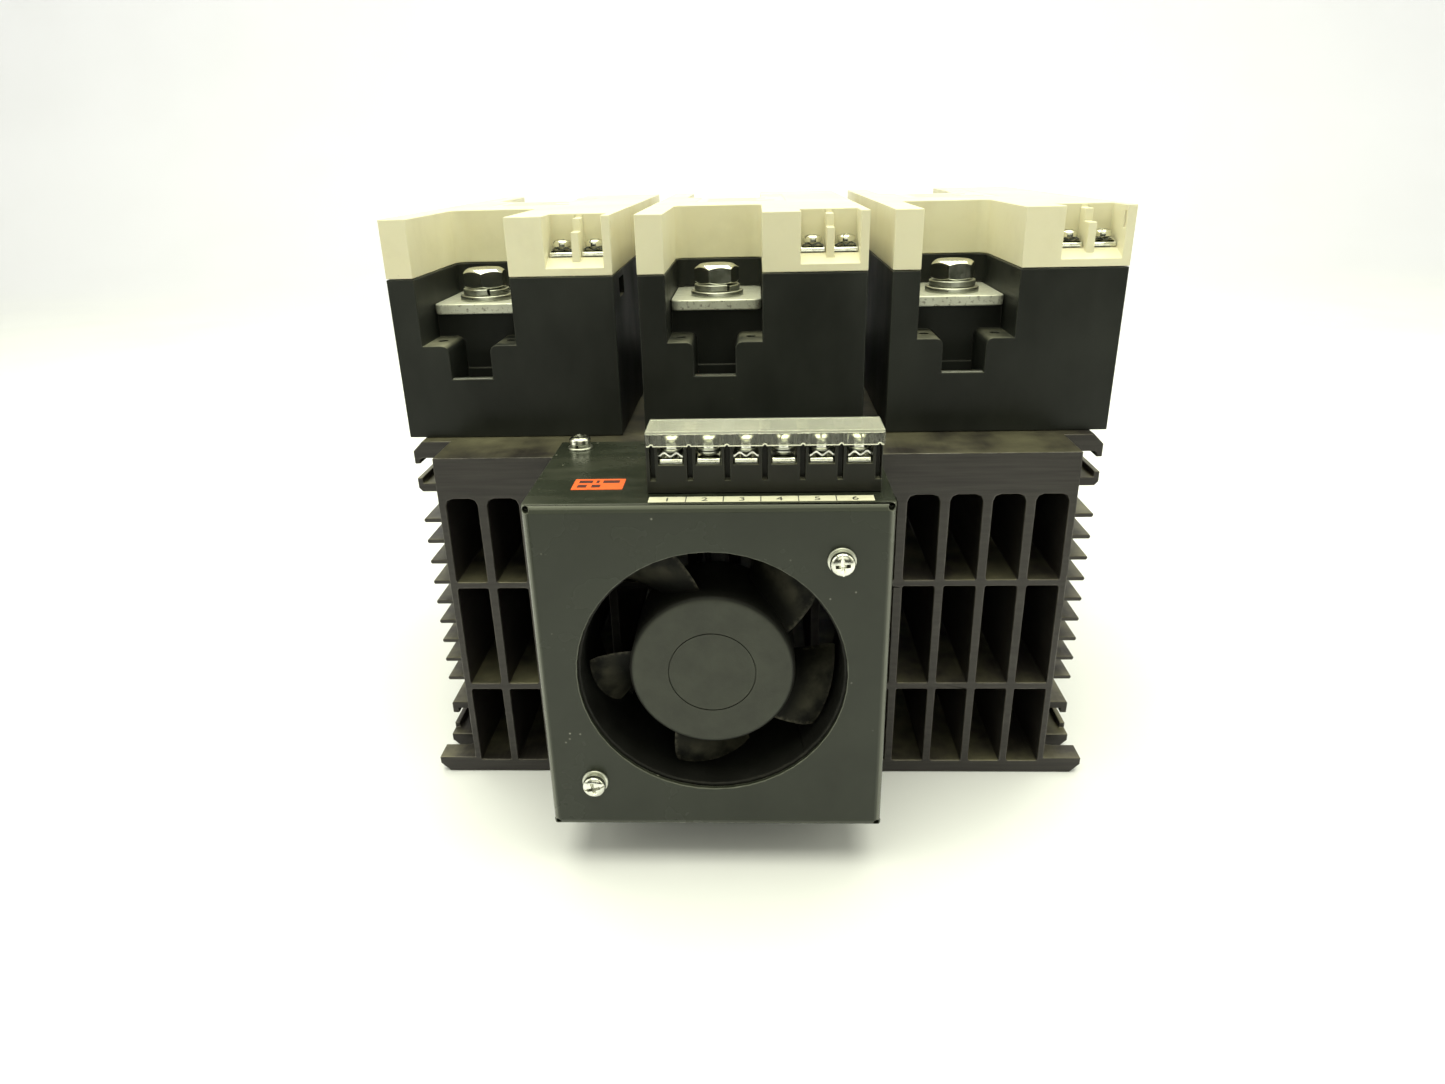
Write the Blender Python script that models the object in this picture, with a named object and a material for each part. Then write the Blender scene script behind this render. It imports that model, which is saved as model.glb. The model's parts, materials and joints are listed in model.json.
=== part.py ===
"""Three-phase solid state relay: three relay modules on a finned heat sink cooled by an axial fan.

The heat sink lies on its mounting side, with the channels along Y and the fan at -Y.
Lengths are written in millimetres, with y = 0 at the heat sink's front face and z = 0 under it.
"""

from math import cos, pi, radians, sin

import bmesh
import bpy
from mathutils import Vector

MM = 0.001
Y_SHIFT = -90.2  # puts the middle of the whole unit over the origin
GAP = 0.3

# Heat sink
SINK_LENGTH = 241.0
SINK_HEIGHT = 136.2
CORE_HALF = 116.4
SIDE_REACH = 131.4
FLANGE_TOP = 6.8
SIDE_CUT_BACK = 22.0
NOTCH_FRONT = 9.3
NOTCH_WIDTH = 7.6
CELL_COUNT = 15
CELL_PITCH = 15.4
CELL_ROWS = ((5.6, 39.3), (42.1, 84.0), (86.6, 120.5))
FIN_TOP = 104.6
FIN_PITCH = 9.02
FIN_COUNT = 9
FIN_THICK = 1.8

# Relay modules
MODULE_CENTRES = (-92.0, 0.0, 92.0)
MODULE_NAMES = ("left", "middle", "right")
MODULE_WIDTH = 83.2
MODULE_LENGTH = 187.0
MODULE_FRONT = 26.9
BASE_BOTTOM = SINK_HEIGHT + GAP
BASE_TOP = 195.9
COVER_BOTTOM = BASE_TOP + GAP
COVER_TOP = 216.8
RECESS = (10.0, 45.3)
RECESS_DEPTH = 57.0
RECESS_CORNER = 5.0
SHELF_TOP = 171.6
SHELF_DEPTH = 21.5
SLOT = (19.6, 35.2)
SLOT_FLOOR = 159.0
PIT_FLOOR = 150.0
BAR = (10.3, 45.0)
BAR_TOP = 184.5
BAR_THICK = 3.8
BAR_START = 17.0
BOSS_TOP = BAR_TOP - BAR_THICK - GAP
BOLT_AT = (27.6, 32.0)
NOTCH = (59.0, 80.2)
RIB = (68.4, 71.2)

# Fan and its sheet metal box
BOX = (-71.1, 43.5)
BOX_FRONT = -55.9
BOX_BOTTOM = 17.8
SHEET = 1.6
PLATE_BOTTOM = SINK_HEIGHT + GAP
PLATE_TOP = PLATE_BOTTOM + SHEET
PLATE_REAR = 13.0
FAN_X = -13.9
FAN_Z = 78.1
FAN_AXIS_Y = -38.0
FAN_HOLE = 41.25
FAN_OPENING = 44.3
FAN_HALF = 46.2
FAN_FRONT = BOX_FRONT + SHEET + GAP
FAN_REAR = FAN_FRONT + 38.0
PLATE_SCREWS = ((-62.8, 5.0), (35.2, 5.0))

# Barrier terminal strip
STRIP_X = (-32.9, 39.8)
STRIP_Y = (-46.0, -32.4)
STRIP_BOTTOM = PLATE_TOP + GAP
STRIP_FLOOR = 147.5
STRIP_TOP = 157.2
STRIP_PITCH = 11.58
STRIP_FIRST = -30.9


def start_clean():
    """Remove everything from the scene."""
    for obj in list(bpy.data.objects):
        bpy.data.objects.remove(obj, do_unlink=True)


def place(x, y, z):
    """Turn millimetres of the unit's own frame into metres of the scene."""
    return Vector((x, y + Y_SHIFT, z)) * MM


def make_look(name, colour, roughness, metallic=0.0):
    """Make one Principled material."""
    look = bpy.data.materials.new(name)
    look.use_nodes = True
    shader = look.node_tree.nodes["Principled BSDF"]
    shader.inputs["Base Color"].default_value = (*colour, 1.0)
    shader.inputs["Roughness"].default_value = roughness
    shader.inputs["Metallic"].default_value = metallic
    return look


def add_object(name, shape, look=None, origin=(0.0, 0.0, 0.0), smooth=None):
    """Turn a bmesh in unit millimetres into an object whose origin is at the given point."""
    bmesh.ops.recalc_face_normals(shape, faces=shape.faces)
    home = place(*origin)
    for vert in shape.verts:
        vert.co = place(*vert.co) - home
    mesh = bpy.data.meshes.new(name)
    shape.to_mesh(mesh)
    shape.free()
    obj = bpy.data.objects.new(name, mesh)
    obj.location = home
    bpy.context.collection.objects.link(obj)
    if look is not None:
        mesh.materials.append(look)
    if smooth is not None:
        mesh.shade_smooth()
        mesh.set_sharp_from_angle(angle=radians(smooth))
    return obj


def hide_tool(tool):
    """Mark an object as a Boolean tool that isn't part of the model."""
    tool.hide_render = True
    tool.display_type = "WIRE"


def cut(target, shape):
    """Cut a bmesh of separate closed solids out of an object."""
    change(target, shape, "DIFFERENCE")


def fuse(target, shape):
    """Fuse one closed solid onto an object."""
    change(target, shape, "UNION")


def change(target, shape, operation):
    """Add a Boolean modifier with its own hidden tool."""
    tool = add_object(f"tool_{target.name}_{len(target.modifiers)}", shape)
    hide_tool(tool)
    step = target.modifiers.new(operation.lower(), "BOOLEAN")
    step.operation = operation
    step.solver = "EXACT"
    step.object = tool


def point_on(axis, a, b, along):
    """Put an outline point (a, b) at a distance along the given axis."""
    if axis == "X":
        return (along, a, b)
    if axis == "Y":
        return (a, along, b)
    return (a, b, along)


def add_prism(shape, outline, axis, start, stop):
    """Extrude a closed outline along an axis between two distances."""
    near = [shape.verts.new(point_on(axis, a, b, start)) for a, b in outline]
    far = [shape.verts.new(point_on(axis, a, b, stop)) for a, b in outline]
    shape.faces.new(near)
    shape.faces.new(list(reversed(far)))
    count = len(outline)
    for i in range(count):
        j = (i + 1) % count
        shape.faces.new((near[j], near[i], far[i], far[j]))


def prism(outline, axis, start, stop):
    """Make a bmesh that holds one prism."""
    shape = bmesh.new()
    add_prism(shape, outline, axis, start, stop)
    return shape


def add_box(shape, low, high):
    """Add an axis-aligned box."""
    outline = [(low[0], low[1]), (high[0], low[1]), (high[0], high[1]), (low[0], high[1])]
    add_prism(shape, outline, "Z", low[2], high[2])


def boxes(*corners):
    """Make a bmesh of separate boxes from (low, high) pairs."""
    shape = bmesh.new()
    for low, high in corners:
        add_box(shape, low, high)
    return shape


def circle(a, b, radius, count):
    """List points round a circle."""
    angles = [2 * pi * i / count for i in range(count)]
    return [(a + radius * cos(angle), b + radius * sin(angle)) for angle in angles]


def hexagon(a, b, half_flat):
    """List the corners of a hexagon set like the bolts and nuts."""
    angles = [pi * i / 3 for i in range(6)]
    reaches = [hexagon_radius(half_flat, angle) for angle in angles]
    return [(a + r * cos(angle), b + r * sin(angle)) for r, angle in zip(reaches, angles)]


def rounded(points, steps):
    """Round the corners of an outline; each point is (a, b, radius)."""
    outline = []
    count = len(points)
    for i, (a, b, radius) in enumerate(points):
        if radius == 0:
            outline.append((a, b))
            continue
        here = Vector((a, b))
        back = (Vector(points[i - 1][:2]) - here).normalized()
        ahead = (Vector(points[(i + 1) % count][:2]) - here).normalized()
        half = back.angle(ahead) / 2
        reach = radius / sin(half)
        centre = here + (back + ahead).normalized() * reach
        first = here + back * (reach * cos(half)) - centre
        last = here + ahead * (reach * cos(half)) - centre
        turn = first.angle_signed(last)
        for step in range(steps + 1):
            angle = -turn * step / steps
            spin_x = first.x * cos(angle) - first.y * sin(angle)
            spin_y = first.x * sin(angle) + first.y * cos(angle)
            outline.append((centre.x + spin_x, centre.y + spin_y))
    return outline


def rectangle(a, b, radius=0.0, steps=3):
    """Make a rectangle outline from two (low, high) ranges."""
    corners = [(a[0], b[0], radius), (a[1], b[0], radius), (a[1], b[1], radius), (a[0], b[1], radius)]
    return rounded(corners, steps)


def ring_point(axis, centre, radius, angle, height):
    """Put a point on a ring round an axis through a centre."""
    u = radius * cos(angle)
    v = radius * sin(angle)
    if axis == "Y":
        return (centre[0] + u, centre[1] + height, centre[2] + v)
    return (centre[0] + u, centre[1] + v, centre[2] + height)


def hexagon_radius(half_flat, angle):
    """Return the distance from the centre to a hexagon's edge."""
    local = angle % (pi / 3) - pi / 6
    return half_flat / cos(local)


def turned(profile, axis, centre, count, closed=False):
    """Turn a profile of (radius, height, kind) rows; kind "hex" makes that row a hexagon."""
    shape = bmesh.new()
    rows = []
    for radius, height, kind in profile:
        if radius == 0:
            rows.append([shape.verts.new(ring_point(axis, centre, 0.0, 0.0, height))])
            continue
        row = []
        for i in range(count):
            angle = 2 * pi * i / count
            reach = hexagon_radius(radius, angle) if kind == "hex" else radius
            row.append(shape.verts.new(ring_point(axis, centre, reach, angle, height)))
        rows.append(row)
    pairs = list(zip(rows, rows[1:]))
    if closed:
        pairs.append((rows[-1], rows[0]))
    for low, high in pairs:
        join_rows(shape, low, high, count)
    return shape


def join_rows(shape, low, high, count):
    """Join two rows of a turned shape; a row of one vertex is a point on the axis."""
    for i in range(count):
        j = (i + 1) % count
        corners = [low[i % len(low)], low[j % len(low)], high[j % len(high)], high[i % len(high)]]
        unique = []
        for corner in corners:
            if corner not in unique:
                unique.append(corner)
        shape.faces.new(unique)


def mirrored(ranges):
    """Add to a list of (start, stop) ranges along a module the same ranges seen from its far end."""
    return ranges + [(MODULE_LENGTH - stop, MODULE_LENGTH - start) for start, stop in ranges]


# ---------------------------------------------------------------- heat sink


def side_outline():
    """List the profile of the heat sink's right side, from the bottom up."""
    reach = SIDE_REACH
    core = CORE_HALF
    points = [
        (reach - 3.7, 0.0), (reach, 3.8), (reach, 9.2), (129.2, 9.2), (129.2, FLANGE_TOP),
        (core, FLANGE_TOP), (core, 16.4), (128.7, 16.4), (128.7, 14.2), (reach, 14.2),
        (reach, 18.8), (reach - 0.7, 19.6), (core, 19.6),
    ]
    for i in range(FIN_COUNT - 1, -1, -1):
        top = FIN_TOP - FIN_PITCH * i
        low = top - FIN_THICK
        points += [(core, low), (reach - 0.5, low), (reach, low + FIN_THICK / 2)]
        points += [(reach - 0.5, top), (core, top)]
    points += [
        (core, 115.8), (reach - 1.4, 115.8), (reach, 117.4), (reach, 121.5), (129.3, 121.5),
        (129.3, 119.4), (core, 119.4), (core, 129.5), (128.3, 129.5), (129.2, 128.6),
        (129.2, 127.3), (reach, 127.3), (reach, 132.3), (reach - 3.9, SINK_HEIGHT),
    ]
    return points


def cell_outline(centre, low, high, top_radius):
    """Outline one cooling channel; the walls between channels thicken towards the top."""
    def half_width(z):
        return 6.25 - 0.45 * z / 120.0

    foot = half_width(low)
    head = half_width(high)
    corners = [
        (centre - foot, low, 0.7), (centre + foot, low, 0.7),
        (centre + head, high, top_radius), (centre - head, high, top_radius),
    ]
    return rounded(corners, 2)


def build_heat_sink(look):
    """Extrude the profile, open the channels and mill the ends of the sides."""
    right = side_outline()
    left = [(-x, z) for x, z in reversed(right)]
    sink = add_object("heat_sink", prism(right + left, "Y", 0.0, SINK_LENGTH), look)
    far_cut = SINK_LENGTH - SIDE_CUT_BACK
    steps = bmesh.new()
    for low_x, high_x in ((-140.0, -CORE_HALF), (CORE_HALF, 140.0)):
        add_box(steps, (low_x, -5.0, FLANGE_TOP), (high_x, SIDE_CUT_BACK, 140.0))
        add_box(steps, (low_x, far_cut, FLANGE_TOP), (high_x, SINK_LENGTH + 5.0, 140.0))
    cut(sink, steps)
    cut(sink, notch_tools())
    holes = bmesh.new()
    for x, y in PLATE_SCREWS:
        add_prism(holes, circle(x, y, 2.2, 12), "Z", 123.0, 140.0)
    cut(sink, holes)
    cells = bmesh.new()
    for column in range(CELL_COUNT):
        centre = (column - (CELL_COUNT - 1) / 2) * CELL_PITCH
        for row, (low, high) in enumerate(CELL_ROWS):
            radius = 2.6 if row == 2 else 0.7
            add_prism(cells, cell_outline(centre, low, high, radius), "Y", -5.0, SINK_LENGTH + 5.0)
    cut(sink, cells)


def notch_tools():
    """Make the four open mounting notches in the foot flanges."""
    radius = NOTCH_WIDTH / 2
    tools = bmesh.new()
    for side in (-1, 1):
        for middle in (NOTCH_FRONT + radius, SINK_LENGTH - NOTCH_FRONT - radius):
            outline = [(side * 140.0, middle - radius), (side * 140.0, middle + radius)]
            for i in range(9):
                angle = pi / 2 + pi * i / 8
                outline.append((side * (122.5 + radius * cos(angle)), middle + radius * sin(angle)))
            add_prism(tools, outline, "Z", -5.0, 12.0)
    return tools


# ---------------------------------------------------------------- relay modules


def module_base(name, left, look):
    """Mould the black base: two terminal recesses and a hollow for the power parts."""
    front = MODULE_FRONT
    length = MODULE_LENGTH

    def ranges(shape, span_x, spans_y, span_z):
        for start, stop in spans_y:
            low = (left + span_x[0], front + start, span_z[0])
            high = (left + span_x[1], front + stop, span_z[1])
            add_box(shape, low, high)

    body = boxes(((left, front, BASE_BOTTOM), (left + MODULE_WIDTH, front + length, BASE_TOP)))
    base = add_object(name, body, look)

    tee = bmesh.new()
    outline = rounded([
        (left + RECESS[0], SHELF_TOP, 0), (left + SLOT[0], SHELF_TOP, 2.5),
        (left + SLOT[0], SLOT_FLOOR, 0), (left + SLOT[1], SLOT_FLOOR, 0),
        (left + SLOT[1], SHELF_TOP, 2.5), (left + RECESS[1], SHELF_TOP, 0),
        (left + RECESS[1], 200.0, 0), (left + RECESS[0], 200.0, 0),
    ], 3)
    for start, stop in mirrored([(-2.0, SHELF_DEPTH)]):
        add_prism(tee, outline, "Y", front + start, front + stop)
    cut(base, tee)

    cut(base, recess_tools(left, SHELF_DEPTH - 0.5, BOSS_TOP))
    pit = bmesh.new()
    ranges(pit, SLOT, mirrored([(3.0, SHELF_DEPTH - 0.5)]), (PIT_FLOOR, 165.0))
    cut(base, pit)
    pockets = bmesh.new()
    for v in (BOLT_AT[1], length - BOLT_AT[1]):
        outline = hexagon(left + BOLT_AT[0], front + v, 7.9)
        add_prism(pockets, outline, "Z", BOSS_TOP - 11.5, BOSS_TOP + 2.0)
    cut(base, pockets)
    under_boss = bmesh.new()
    ranges(under_boss, (12.5, 42.8), mirrored([(24.0, RECESS_DEPTH)]), (130.0, BOSS_TOP - 14.0))
    cut(base, under_boss)
    hollow = bmesh.new()
    ranges(hollow, (2.5, 80.7), [(RECESS_DEPTH + 2.5, length - RECESS_DEPTH - 2.5)], (130.0, 204.0))
    cut(base, hollow)
    wings = bmesh.new()
    ranges(wings, (47.8, 80.7), mirrored([(2.5, RECESS_DEPTH + 6.0)]), (139.0, 206.0))
    cut(base, wings)
    slits = bmesh.new()
    slit = (BAR[0] - GAP, BAR[1] + GAP)
    ranges(slits, slit, mirrored([(RECESS_DEPTH - 6.0, RECESS_DEPTH + 4.0)]),
           (BAR_TOP - BAR_THICK - GAP, BAR_TOP + GAP))
    cut(base, slits)
    window = bmesh.new()
    ranges(window, (79.0, 86.0), [(16.0, 28.0)], (186.5, 193.4))
    cut(base, window)
    holes = bmesh.new()
    for u in (14.2, 40.9):
        for v in (12.0, length - 12.0):
            add_prism(holes, circle(left + u, front + v, 1.9, 10), "Z", 161.0, 175.0)
    cut(base, holes)


def recess_tools(left, start, bottom):
    """Make the two terminal recesses of a module, with rounded inner corners."""
    tools = bmesh.new()
    x0 = left + RECESS[0]
    x1 = left + RECESS[1]
    for mouth, end in ((start, RECESS_DEPTH), (MODULE_LENGTH - start, MODULE_LENGTH - RECESS_DEPTH)):
        near = MODULE_FRONT + mouth
        far = MODULE_FRONT + end
        corners = [(x0, near, 0), (x1, near, 0), (x1, far, RECESS_CORNER), (x0, far, RECESS_CORNER)]
        add_prism(tools, rounded(corners, 4), "Z", bottom, 225.0)
    return tools


def cover_hollow(left):
    """Outline the inside of the cover, one wall in from its outside."""
    wall = 2.2
    inner = RECESS[0] - wall
    far = RECESS[1] + wall
    back = RECESS_DEPTH + wall
    length = MODULE_LENGTH
    width = MODULE_WIDTH
    points = [
        (wall, wall), (inner, wall), (inner, back), (far, back), (far, wall), (56.8, wall),
        (56.8, 17.2), (width - wall, 17.2), (width - wall, length - wall), (far, length - wall),
        (far, length - back), (inner, length - back), (inner, length - wall), (wall, length - wall),
    ]
    return [(left + u, MODULE_FRONT + v) for u, v in points]


def module_cover(name, left, look):
    """Mould the light cover with its recesses and the notch for the control terminals."""
    front = MODULE_FRONT
    right = left + MODULE_WIDTH
    body = boxes(((left, front, COVER_BOTTOM), (right, front + MODULE_LENGTH, COVER_TOP)))
    cover = add_object(name, body, look)
    cut(cover, recess_tools(left, -2.0, 190.0))
    cut(cover, prism(cover_hollow(left), "Z", 190.0, COVER_TOP - 2.5))

    def notch_profile(depth):
        ramp = 198.9 + 3.1 * min(depth, 6.5) / 6.5
        points = [(-2.0, 198.9), (0.0, 198.9), (min(depth, 6.5), ramp)]
        if depth > 6.5:
            points.append((depth, ramp))
        points += [(depth, 225.0), (-2.0, 225.0)]
        return [(front + v, z) for v, z in points]

    pockets = bmesh.new()
    add_prism(pockets, notch_profile(15.0), "X", left + NOTCH[0], left + RIB[0])
    add_prism(pockets, notch_profile(15.0), "X", left + RIB[1], left + NOTCH[1])
    cut(cover, pockets)
    rib_left = left + RIB[0] - 0.5
    rib_right = left + RIB[1] + 0.5
    cut(cover, prism(notch_profile(3.5), "X", rib_left, rib_right))
    cut(cover, boxes(((rib_left, front + 3.0, 211.0), (rib_right, front + 9.0, 225.0))))
    cut(cover, boxes(((rib_left, front + 8.0, 215.4), (rib_right, front + 14.9, 225.0))))
    slot_low = (left + NOTCH[1] - 1.0, front + 1.6, 209.0)
    cut(cover, boxes((slot_low, (right + 2.0, front + 3.4, 214.6))))
    cut(cover, boxes(((right - 0.6, front + 59.5, 190.0), (right + 2.0, front + 60.7, 225.0))))
    label_room = ((left + 17.0, front + 85.0, COVER_TOP - 0.4), (left + 56.0, front + 148.0, 225.0))
    cut(cover, boxes(label_room))
    holes = bmesh.new()
    for u in control_positions():
        add_prism(holes, circle(left + u, front + 11.0, 1.8, 10), "Z", 190.0, 204.0)
    cut(cover, holes)


def control_positions():
    """Return the two control terminals' places across a module."""
    return ((NOTCH[0] + RIB[0]) / 2, (RIB[1] + NOTCH[1]) / 2)


def control_terminal(name, x, look):
    """Make a control terminal: a plate with a clamp and its screw."""
    y = MODULE_FRONT + 11.0
    bottom = 202.3
    plate = boxes(((x - 3.7, y - 4.0, bottom), (x + 3.7, y + 3.6, bottom + 2.2)))
    terminal = add_object(name, plate, look)
    fuse(terminal, boxes(((x - 3.4, y - 3.6, bottom + 2.0), (x + 3.4, y + 3.2, bottom + 3.3))))
    screw = [
        (0, -8.0, ""), (1.4, -8.0, ""), (1.4, 3.1, ""), (2.5, 3.1, ""), (2.5, 5.0, ""),
        (1.9, 5.8, ""), (0, 6.0, ""),
    ]
    fuse(terminal, turned(screw, "Z", (x, y, bottom), 12))


def busbar(name, left, rear, look):
    """Bend a busbar: a flat terminal pad with a leg down to the power module."""
    def y_at(v):
        return MODULE_FRONT + (MODULE_LENGTH - v if rear else v)

    low = BAR_TOP - BAR_THICK
    x0 = left + BAR[0]
    x1 = left + BAR[1]
    start = y_at(BAR_START)
    stop = y_at(78.0)
    outline = rounded([(x0, start, 3.0), (x1, start, 3.0), (x1, stop, 0), (x0, stop, 0)], 3)
    bar = add_object(name, prism(outline, "Z", low, BAR_TOP), look)
    ends = sorted((y_at(74.2), stop))
    fuse(bar, boxes(((left + 18.0, ends[0], 161.0), (left + 37.0, ends[1], low + 1.0))))
    hole = circle(left + BOLT_AT[0], y_at(BOLT_AT[1]), 5.3, 20)
    cut(bar, prism(hole, "Z", low - 3.0, BAR_TOP + 3.0))


def main_bolt(name, x, y, look):
    """Make a hexagon bolt with its captive spring washer and plain washer."""
    profile = [
        (0, -12.5, ""), (4.6, -12.5, ""), (4.6, 0.3, ""), (10.3, 0.3, ""), (10.3, 2.1, ""),
        (9.0, 2.1, ""), (9.0, 4.6, ""), (7.6, 4.6, "hex"), (7.6, 11.2, "hex"), (6.9, 12.1, ""),
        (0, 12.1, ""),
    ]
    add_object(name, turned(profile, "Z", (x, y, BAR_TOP), 18), look, smooth=30)


def main_nut(name, x, y, look):
    """Make the hexagon nut under a busbar."""
    profile = [(5.0, -8.3, ""), (7.6, -8.3, "hex"), (7.6, -0.3, "hex"), (5.0, -0.3, "")]
    nut = turned(profile, "Z", (x, y, BAR_TOP - BAR_THICK), 18, closed=True)
    add_object(name, nut, look, smooth=30)


def power_module(name, left, look):
    """Make the thyristor block that sits on the heat sink, with a pad under each busbar leg."""
    y0 = MODULE_FRONT + 66.0
    y1 = MODULE_FRONT + MODULE_LENGTH - 66.0
    block = add_object(name, boxes(((left + 10.0, y0, BASE_BOTTOM), (left + 72.0, y1, 157.0))), look)
    for middle in (MODULE_FRONT + 76.1, MODULE_FRONT + MODULE_LENGTH - 76.1):
        fuse(block, boxes(((left + 17.0, middle - 5.0, 156.0), (left + 38.0, middle + 5.0, 160.7))))


def control_board(name, left, look):
    """Make the control circuit board with its two tallest components."""
    y0 = MODULE_FRONT + 62.0
    board = add_object(name, boxes(((left + 47.5, y0, 170.0), (left + 80.2, y0 + 63.0, 171.6))), look)
    fuse(board, boxes(((left + 52.0, y0 + 8.0, 171.2), (left + 68.0, y0 + 22.0, 184.0))))
    fuse(board, boxes(((left + 56.0, y0 + 34.0, 171.2), (left + 74.0, y0 + 52.0, 180.0))))


def build_module(side, centre, looks):
    """Build one complete relay module."""
    left = centre - MODULE_WIDTH / 2
    module_base(f"{side}_base", left, looks["base"])
    module_cover(f"{side}_cover", left, looks["cover"])
    power_module(f"{side}_power_module", left, looks["power"])
    control_board(f"{side}_control_board", left, looks["board"])
    for number, u in enumerate(control_positions(), 1):
        control_terminal(f"{side}_control_terminal_{number}", left + u, looks["zinc"])
    for end, rear in (("line", False), ("load", True)):
        v = MODULE_LENGTH - BOLT_AT[1] if rear else BOLT_AT[1]
        x = left + BOLT_AT[0]
        y = MODULE_FRONT + v
        busbar(f"{side}_{end}_busbar", left, rear, looks["tin"])
        main_bolt(f"{side}_{end}_bolt", x, y, looks["zinc"])
        main_nut(f"{side}_{end}_nut", x, y, looks["zinc"])


# ---------------------------------------------------------------- fan


def build_fan_cover(look):
    """Fold the sheet box: front, top with its tongue, bottom and two sides."""
    bend = 2.6
    inside = bend - SHEET
    front = BOX_FRONT
    skin = front + SHEET
    section = rounded([
        (front, BOX_BOTTOM, bend), (-1.0, BOX_BOTTOM, 0), (-1.0, BOX_BOTTOM + SHEET, 0),
        (skin, BOX_BOTTOM + SHEET, inside), (skin, PLATE_BOTTOM, inside), (PLATE_REAR, PLATE_BOTTOM, 0),
        (PLATE_REAR, PLATE_TOP, 0), (front, PLATE_TOP, bend),
    ], 3)
    cover = add_object("fan_cover", prism(section, "X", BOX[0], BOX[1]), look)
    low_z = BOX_BOTTOM + 0.8
    high_z = PLATE_TOP - 0.8
    for x0 in (BOX[0] + 0.2, BOX[1] - SHEET - 0.2):
        fuse(cover, boxes(((x0, front + 0.8, low_z), (x0 + SHEET, -1.4, high_z))))
    edges = bmesh.new()
    for edge, side in ((BOX[0], 1), (BOX[1], -1)):
        add_prism(edges, edge_outline(edge, front, bend, side), "Z", BOX_BOTTOM - 5.0, PLATE_TOP + 5.0)
    cut(cover, edges)
    reliefs = bmesh.new()
    for x in (BOX[0] + 1.5, BOX[1] - 1.5):
        for z in (BOX_BOTTOM + 1.5, PLATE_TOP - 1.5):
            add_prism(reliefs, circle(x, z, 1.1, 8), "Y", front - 5.0, front + 3.4)
    cut(cover, reliefs)
    openings = prism(circle(FAN_X, FAN_Z, FAN_OPENING, 48), "Y", front - 5.0, front + 5.0)
    cut(cover, openings)
    fan_holes = bmesh.new()
    for offset in (-FAN_HOLE, FAN_HOLE):
        hole = circle(FAN_X + offset, FAN_Z + offset, 2.3, 12)
        add_prism(fan_holes, hole, "Y", front - 5.0, front + 5.0)
    cut(cover, fan_holes)
    top_holes = bmesh.new()
    for x, y in PLATE_SCREWS:
        add_prism(top_holes, circle(x, y, 2.3, 12), "Z", PLATE_BOTTOM - 5.0, PLATE_TOP + 5.0)
    for x, y in lead_holes():
        add_prism(top_holes, circle(x, y, 3.5, 12), "Z", PLATE_BOTTOM - 5.0, PLATE_TOP + 5.0)
    cut(cover, top_holes)


def edge_outline(edge, front, bend, side):
    """Outline what is cut away outside the bend along a vertical edge of the sheet box."""
    outline = [(edge - side * 3.0, front + bend), (edge - side * 3.0, front - 3.0)]
    outline += [(edge + side * bend, front - 3.0)]
    for i in range(5):
        angle = pi / 2 * i / 4
        x = edge + side * bend * (1 - sin(angle))
        outline.append((x, front + bend * (1 - cos(angle))))
    return outline


def lead_holes():
    """Return where the two leads come up through the top plate."""
    return ((-22.0, -14.0), (30.0, -14.0))


def build_fan_housing(look):
    """Make the fan's square frame with the cross that carries the motor."""
    outline = rectangle((FAN_X - FAN_HALF, FAN_X + FAN_HALF), (FAN_Z - FAN_HALF, FAN_Z + FAN_HALF), 5.0)
    housing = add_object("fan_housing", prism(outline, "Y", FAN_FRONT, FAN_REAR), look)
    cut(housing, prism(circle(FAN_X, FAN_Z, 43.4, 48), "Y", FAN_FRONT - 5.0, FAN_REAR + 5.0))
    back = FAN_REAR - 0.5
    for lean in (radians(38.0), radians(128.0)):
        fuse(housing, prism(strut_outline(lean), "Y", back - 3.2, back))
    fuse(housing, prism(circle(FAN_X, FAN_Z, 24.0, 32), "Y", back - 3.5, back - 0.3))
    holes = bmesh.new()
    for a in (-FAN_HOLE, FAN_HOLE):
        for b in (-FAN_HOLE, FAN_HOLE):
            hole = circle(FAN_X + a, FAN_Z + b, 2.2, 12)
            add_prism(holes, hole, "Y", FAN_FRONT - 6.0, FAN_REAR + 6.0)
    cut(housing, holes)


def strut_outline(lean):
    """Outline one straight strut across the fan's bore."""
    along = Vector((cos(lean), sin(lean))) * 44.3
    across = Vector((-sin(lean), cos(lean))) * 2.6
    centre = Vector((FAN_X, FAN_Z))
    start = centre - along
    stop = centre + along
    corners = (start - across, stop - across, stop + across, start + across)
    return [(corner.x, corner.y) for corner in corners]


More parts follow.
